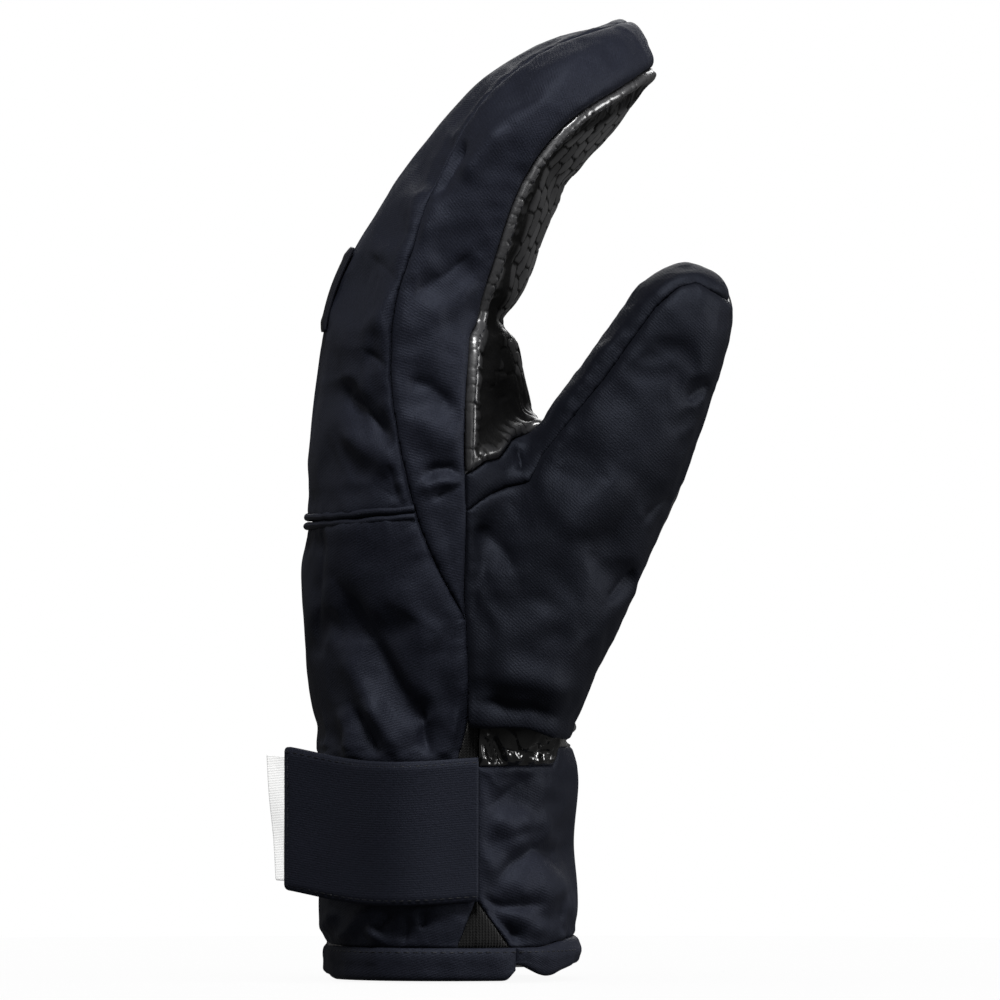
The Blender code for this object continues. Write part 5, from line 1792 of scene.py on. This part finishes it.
def build_piping():
    """Two corded rolls side by side across the back."""
    middle = HAND.at(PIPING_STATION)
    edge = float(HAND.angle(smooth_between(on_hand(BACK_SEAM), middle) - 0.004))
    turns = np.linspace(edge, 2 * math.pi - edge, 260)
    columns = 14
    rim = np.linspace(0, 2 * math.pi, columns, endpoint=False)
    for name, side in (("upper_piping", 1), ("lower_piping", -1)):
        wander = 0.00025 * drift(np.stack([turns * 0.03] * 3, 1), 0.006, 71 + side)
        line = HAND.point(middle + side * 0.00112 + wander, turns, 0.0012)
        ahead = unit(np.gradient(line, axis=0))
        out = unit(np.cross(ahead, (0.0, 0.0, 1.0)))
        over = np.cross(out, ahead)
        run = run_length(line)
        radius = 0.00100 + 0.00010 * drift(np.stack([run, run * 0, run * 0], 1), 0.0035, 73 + side)
        ring = out[:, None] * np.cos(rim)[:, None] * 1.15 + over[:, None] * np.sin(rim)[:, None]
        points = line[:, None] + radius[:, None, None] * ring
        rings = len(points)
        faces = ring_faces(rings, columns)
        faces.append(tuple(range(columns))[::-1])
        faces.append(tuple(range((rings - 1) * columns, rings * columns)))
        piece = turned_outward(mesh_object(name, points.reshape(-1, 3), faces))
        put_uv(piece.data, np.repeat(run, columns), np.tile(rim * 0.001, rings))
        finish_piece(piece, "strap", [name], "hand")


def build_patch():
    """A plain thin patch over the knuckles, soft at its edges."""
    tree = surface_tree(SHARED["back"].data)
    rows, columns = 40, 52
    height, half_width, start = 0.0140, 0.017, 0.01
    s = np.linspace(HAND.at(3.17), HAND.at(3.84), rows)[:, None]
    spread = (0.034 / 0.104) ** 1.2
    turns = math.pi + np.arcsin(spread * np.linspace(-1, 1, columns))
    base = HAND.point(s, turns)
    out = unit(HAND.point(s, turns, -0.002) - base)
    rise = np.zeros((rows, columns))
    for place in np.ndindex(rows, columns):
        point, way = base[place], out[place]
        hit = tree.ray_cast(Vector(point + way * start), Vector(-way), 2 * start)
        if hit[0] is not None:
            rise[place] = start - hit[3]
    top = max(0.0, float(np.percentile(rise, 92)))
    eased = rise
    for _ in range(60):
        padded = np.pad(eased, 1, mode="edge")
        eased = (padded[:-2, 1:-1] + padded[2:, 1:-1] + padded[1:-1, :-2] + padded[1:-1, 2:]) / 4
    eased = np.maximum(eased, rise - 0.0002) * 0.6 + top * 0.4 + 0.0002
    u, v = np.meshgrid(np.linspace(-half_width, half_width, columns), np.linspace(0, height, rows))
    edge = np.minimum.reduce([v, height - v, u + half_width, half_width - u])
    body = 0.0012 - 0.0005 * np.exp(-edge / 0.0006) + 0.0002 * bell(edge - 0.0016, 0.0006)
    inner, outer = (base + out * lift[..., None] for lift in (eased, eased + body))
    piece = plate("back_patch", inner, outer)
    put_uv(piece.data, np.tile(u.ravel(), 2), np.tile(v.ravel(), 2))
    finish_piece(piece, "patch", ["back_patch"], "hand")


# ---- Stitches ----------------------------------------------------------------------------------

STITCH_SIZES = {"Pitch": 0.0026, "Stitch length": 0.0016, "Thread radius": 0.0002}


def stitch_tree():
    """Geometry Nodes: a rounded stitch set at even steps along a line."""
    tree = bpy.data.node_groups.new("Stitch row", "GeometryNodeTree")
    face = tree.interface
    face.new_socket("Geometry", in_out="INPUT", socket_type="NodeSocketGeometry")
    sockets = {}
    for name, value in STITCH_SIZES.items():
        socket = face.new_socket(name, in_out="INPUT", socket_type="NodeSocketFloat")
        socket.default_value = value
        sockets[name] = socket.identifier
    socket = face.new_socket("Thread", in_out="INPUT", socket_type="NodeSocketMaterial")
    sockets["Thread"] = socket.identifier
    face.new_socket("Geometry", in_out="OUTPUT", socket_type="NodeSocketGeometry")

    def add(kind, inputs=None, **settings):
        node = tree.nodes.new(kind)
        for key, value in settings.items():
            setattr(node, key, value)
        for key, value in (inputs or {}).items():
            if isinstance(value, bpy.types.NodeSocket):
                tree.links.new(value, node.inputs[key])
            else:
                node.inputs[key].default_value = value
        return node.outputs

    entry = add("NodeGroupInput")
    line = add("GeometryNodeMeshToCurve", {"Mesh": entry["Geometry"]})[0]
    pitch = {"Curve": line, "Length": entry["Pitch"]}
    even = add("GeometryNodeResampleCurve", pitch, mode="LENGTH")[0]
    tangent = add("GeometryNodeInputTangent")[0]
    turn = add("FunctionNodeAlignRotationToVector", {"Vector": tangent}, axis="Z")[0]
    ball = add("GeometryNodeMeshUVSphere", {"Segments": 6, "Rings": 5, "Radius": 1.0})[0]
    ball = add("GeometryNodeSetShadeSmooth", {"Geometry": ball})[0]
    half = add("ShaderNodeMath", {0: entry["Stitch length"], 1: 0.5}, operation="MULTIPLY")[0]
    radius = entry["Thread radius"]
    size = add("ShaderNodeCombineXYZ", {"X": radius, "Y": radius, "Z": half})[0]
    uneven = {"Seed": 7, 2: 0.85, 3: 1.1}
    wobble = add("FunctionNodeRandomValue", uneven, data_type="FLOAT")[1]
    varied = add("ShaderNodeVectorMath", {0: size, "Scale": wobble}, operation="SCALE")[0]
    spread = {"Points": even, "Instance": ball, "Rotation": turn, "Scale": varied}
    placed = add("GeometryNodeInstanceOnPoints", spread)[0]
    real = add("GeometryNodeRealizeInstances", {"Geometry": placed})[0]
    painted = {"Geometry": real, "Material": entry["Thread"]}
    add("NodeGroupOutput", {0: add("GeometryNodeSetMaterial", painted)[0]})
    return tree, sockets


def stitch_row(name, lines, slot, pitch, length, radius):
    """Stitches along one or more lines of points, as one plain mesh."""
    if "stitches" not in SHARED:
        SHARED["stitches"] = stitch_tree()
    tree, sockets = SHARED["stitches"]
    edges, start = [], 0
    for line in lines:
        edges += [(start + index, start + index + 1) for index in range(len(line) - 1)]
        start += len(line)
    piece = mesh_object(name, np.concatenate(lines), [], edges)
    row = piece.modifiers.new("Stitch row", "NODES")
    row.node_group = tree
    for key, size in zip(STITCH_SIZES, (pitch, length, radius)):
        row[sockets[key]] = size
    row[sockets["Thread"]] = look_of("thread")
    piece.data.update()
    return finish_piece(apply_modifiers(piece), "thread")


def stitches_on(piece, s, angle, side):
    """A line on one side of the hand, laid onto the surface of a piece."""
    if side < 0:
        angle = 2 * math.pi - angle
    base = HAND.point(s, angle)
    outward = unit(HAND.point(s, angle, -0.002) - base)
    tree = surface_tree(piece.data)
    placed = []
    for point, way in zip(base, outward):
        hit = tree.ray_cast(Vector(point + way * 0.012), Vector(-way), 0.024)[0]
        if hit is not None:
            placed.append(np.array(hit) + way * 0.00005)
    return np.array(placed)


def build_stitches():
    seam = on_hand(PALM_SEAM)
    lines = []
    for side, low in ((-1, 2.60), (1, 1.0)):
        s = np.linspace(HAND.at(low), HAND.length - 0.012, 300)
        angle = HAND.angle(smooth_between(seam, s) + 0.0016 / HAND.thickness(s))
        lines.append(stitches_on(SHARED["palm_leather"], s, angle, side))
    sizes = {"pitch": 0.0026, "length": 0.0018, "radius": 0.00019}
    bend_fingers(stitch_row("palm_seam_stitches", lines, "leather", **sizes))
    lines = []
    for side in (-1, 1):
        for name, low, high in (
            ("cuff_back_hem", 0.02, SLIT_ACROSS - 0.015),
            ("cuff_palm_hem", SLIT_ACROSS + 0.015, 0.98),
        ):
            angle = np.linspace(float(HAND.angle(low)), float(HAND.angle(high)), 160)
            lines.append(stitches_on(SHARED[name], HEM_HEIGHT - 0.0012, angle, side))
    sizes = {"pitch": 0.0024, "length": 0.0017, "radius": 0.00016}
    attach(stitch_row("hem_stitches", lines, "shell", **sizes), "hand")
    inset = 0.0013
    end, top = STRAP_LENGTH - inset, STRAP_HEIGHT / 2 - inset
    run, tall = np.linspace(0.001, end, 120), np.linspace(-top, top, 90)
    lines = [
        on_strap(run, run * 0 + top, run * 0 + STRAP_THICKNESS),
        on_strap(run, run * 0 - top, run * 0 + STRAP_THICKNESS),
        on_strap(tall * 0 + end, tall, tall * 0 + STRAP_THICKNESS),
    ]
    sizes = {"pitch": 0.0022, "length": 0.0015, "radius": 0.00014}
    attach(stitch_row("strap_stitches", lines, "shell", **sizes), "strap")


# ---- Stage -------------------------------------------------------------------------------------


def build_floor(radius):
    columns = 96
    turns = np.linspace(0, 2 * math.pi, columns, endpoint=False)
    circle = np.stack([np.cos(turns), np.sin(turns), turns * 0], 1)
    shares = (1.0, 0.75, 0.5, 0.25)
    points = [point * radius * share for share in shares for point in circle] + [(0.0, 0.0, 0.0)]
    faces = ring_faces(len(shares), columns)
    inner, middle = (len(shares) - 1) * columns, len(points) - 1
    faces += [(inner + i, inner + (i + 1) % columns, middle) for i in range(columns)]
    floor = finish_piece(mesh_object("studio_floor", points, faces), "floor")
    floor.visible_diffuse = floor.visible_glossy = False
    return floor


def build_stage():
    settings = bpy.context.scene.mitten_studio
    scene = bpy.context.scene
    lit = bpy.data.collections.new("Lit by the lamps")
    lit.objects.link(build_floor(settings.floor_radius))
    lit.collection_objects[0].light_linking.link_state = "EXCLUDE"
    target = Vector((0.0, 0.0, 0.15))
    for name, place, size in (
        ("key", (0.05, -0.80, 1.26), 0.45),
        ("low", (1.30, -0.70, 0.16), 0.5),
        ("front", (0.15, -1.40, 0.25), 0.7),
        ("side", (1.38, -0.28, 0.46), 0.6),
        ("back", (0.1, 1.35, 0.8), 0.9),
        ("top", (-1.3, 0.25, 0.7), 0.7),
    ):
        data = bpy.data.lights.new(name, "AREA")
        data.shape, data.size, data.energy = "DISK", size, getattr(settings, name + "_power")
        lamp = bpy.data.objects.new(name, data)
        scene.collection.objects.link(lamp)
        lamp.location = place
        lamp.light_linking.receiver_collection = lit
        lamp.rotation_euler = (target - Vector(place)).to_track_quat("-Z", "Y").to_euler()
    world = bpy.data.worlds.new("Studio")
    scene.world = world
    world.use_nodes = True
    sky = world.node_tree
    background = sky.nodes["Background"]
    background.inputs["Color"].default_value = (1.0, 1.0, 1.0, 1.0)
    rays = sky.nodes.new("ShaderNodeLightPath")
    strength = sky.nodes.new("ShaderNodeMapRange")
    strength.inputs["To Min"].default_value = settings.room_light
    strength.inputs["To Max"].default_value = 1.0
    sky.links.new(rays.outputs["Is Camera Ray"], strength.inputs["Value"])
    sky.links.new(strength.outputs["Result"], background.inputs["Strength"])
    data = bpy.data.cameras.new("View")
    data.lens, data.sensor_width = settings.lens, 36.0
    data.clip_start, data.clip_end = 0.1, 60.0
    camera = bpy.data.objects.new("View", data)
    scene.collection.objects.link(camera)
    camera.location = (-0.0001, -settings.camera_distance, 0.1293)
    camera.rotation_euler = (math.radians(90), 0.0, 0.0)
    scene.camera = camera
    scene.view_settings.view_transform = "Standard"


# ---- Settings, operators and panel -------------------------------------------------------------


def amount(name, default, description, **kind):
    return bpy.props.FloatProperty(
        name=name, description=description, default=default, min=0.0, **kind
    )


def metres(name, default, description):
    return amount(name, default, description, subtype="DISTANCE", unit="LENGTH")


def watts(name, default):
    return amount(name, default, "Power of this light, in watts")


def colour(name, default, description):
    return bpy.props.FloatVectorProperty(
        name=name, description=description, default=default, min=0.0, max=1.0, subtype="COLOR"
    )


class MittenShape(bpy.types.PropertyGroup):
    seam_radius: metres("Seam roll", 0.0032, "How far the cloth starts to turn down before a seam")
    seam_depth: metres("Seam depth", 0.0015, "How deep the seams sink between the panels")
    crotch_fillet: metres("Crotch fillet", 0.007, "How softly thumb and palm run into each other")
    puff_pressure: amount("Padding pressure", 4.0, "How hard the padding swells the cloth")
    puff_slack: amount("Cloth slack", 0.02, "Share by which the cloth is cut larger than its seams")
    puff_cap: metres("Padding limit", 0.005, "The furthest that the padding moves the cloth")
    scale_width: metres("Tile width", 0.0064, "Width of the leather's embossed tiles")
    scale_length: metres("Tile length", 0.0078, "Length of the leather's embossed tiles")


class MittenFinish(bpy.types.PropertyGroup):
    fabric_colour: colour("Fabric", (0.0080, 0.0088, 0.0140), "Colour of the shell fabric")
    leather_colour: colour("Leather", (0.0050, 0.0050, 0.0053), "Colour of the leather")
    floor_colour: colour("Floor", (0.93, 0.93, 0.93), "Colour of the studio floor")


class MittenStudio(bpy.types.PropertyGroup):
    lens: amount("Lens", 600.0, "Focal length of the camera", unit="CAMERA")
    camera_distance: metres("Camera distance", 4.5, "From the glove to the camera")
    floor_radius: metres("Floor radius", 0.45, "How far the studio floor reaches")
    key_power: watts("Key light", 20.5)
    front_power: watts("Front light", 1.6)
    side_power: watts("Side light", 12.0)
    back_power: watts("Back light", 6.0)
    low_power: watts("Low light", 0.4)
    top_power: watts("Top light", 1.5)
    room_light: amount("Room light", 0.07, "Strength of the light from all around")


class MITTEN_OT_back(bpy.types.Operator):
    """Builds the back panels and side strips"""

    bl_idname = "mitten.back"
    bl_label = "Back and Side Fabric"

    def execute(self, context):
        build_back()
        return {"FINISHED"}


class MITTEN_OT_thumb(bpy.types.Operator):
    """Builds the thumb's fabric panels"""

    bl_idname = "mitten.thumb"
    bl_label = "Thumb Fabric"

    def execute(self, context):
        build_thumb()
        return {"FINISHED"}


class MITTEN_OT_leather(bpy.types.Operator):
    """Builds the embossed palm and thumb leather"""

    bl_idname = "mitten.leather"
    bl_label = "Palm Leather"

    def execute(self, context):
        build_leather()
        return {"FINISHED"}


class MITTEN_OT_cuff(bpy.types.Operator):
    """Builds cuff, hems, knit gussets and gathered wrist leather"""

    bl_idname = "mitten.cuff"
    bl_label = "Cuff and Wrist"

    def execute(self, context):
        build_cuff()
        return {"FINISHED"}


class MITTEN_OT_lining(bpy.types.Operator):
    """Builds the fleece lining"""

    bl_idname = "mitten.lining"
    bl_label = "Lining"

    def execute(self, context):
        build_lining()
        return {"FINISHED"}


class MITTEN_OT_strap(bpy.types.Operator):
    """Builds the strap, its hook tape, bare label and loop field"""

    bl_idname = "mitten.strap"
    bl_label = "Strap"

    def execute(self, context):
        build_strap()
        return {"FINISHED"}


class MITTEN_OT_trim(bpy.types.Operator):
    """Builds the double piping and the plain back patch"""

    bl_idname = "mitten.trim"
    bl_label = "Piping and Patch"

    def execute(self, context):
        build_piping()
        build_patch()
        return {"FINISHED"}


class MITTEN_OT_stitches(bpy.types.Operator):
    """Sews the visible stitch rows"""

    bl_idname = "mitten.stitches"
    bl_label = "Stitches"

    def execute(self, context):
        build_stitches()
        return {"FINISHED"}


class MITTEN_OT_stage(bpy.types.Operator):
    """Sets floor, lights and camera"""

    bl_idname = "mitten.stage"
    bl_label = "Studio"

    def execute(self, context):
        build_stage()
        return {"FINISHED"}


OPERATORS = (
    MITTEN_OT_back,
    MITTEN_OT_thumb,
    MITTEN_OT_leather,
    MITTEN_OT_cuff,
    MITTEN_OT_lining,
    MITTEN_OT_strap,
    MITTEN_OT_trim,
    MITTEN_OT_stitches,
    MITTEN_OT_stage,
)


class MITTEN_PT_sidebar(bpy.types.Panel):
    """Sizes, colours and steps of the mitten"""

    bl_idname = "MITTEN_PT_sidebar"
    bl_label = "Ski Mitten"
    bl_space_type = "VIEW_3D"
    bl_region_type = "UI"
    bl_category = "Mitten"

    def draw(self, context):
        for group_name, _ in GROUPS:
            group = getattr(context.scene, group_name)
            box = self.layout.box()
            for name in group.__annotations__:
                box.prop(group, name)
        for step in OPERATORS:
            self.layout.operator(step.bl_idname)


GROUPS = (
    ("mitten_shape", MittenShape),
    ("mitten_finish", MittenFinish),
    ("mitten_studio", MittenStudio),
)


def register():
    for name, group in GROUPS:
        bpy.utils.register_class(group)
        setattr(bpy.types.Scene, name, bpy.props.PointerProperty(type=group))
    for each in (*OPERATORS, MITTEN_PT_sidebar):
        bpy.utils.register_class(each)


def unregister():
    for each in reversed((*OPERATORS, MITTEN_PT_sidebar)):
        bpy.utils.unregister_class(each)
    for name, group in reversed(GROUPS):
        delattr(bpy.types.Scene, name)
        bpy.utils.unregister_class(group)


def main():
    register()
    for step in OPERATORS:
        area, name = step.bl_idname.split(".")
        getattr(getattr(bpy.ops, area), name)()


if __name__ == "__main__":
    main()
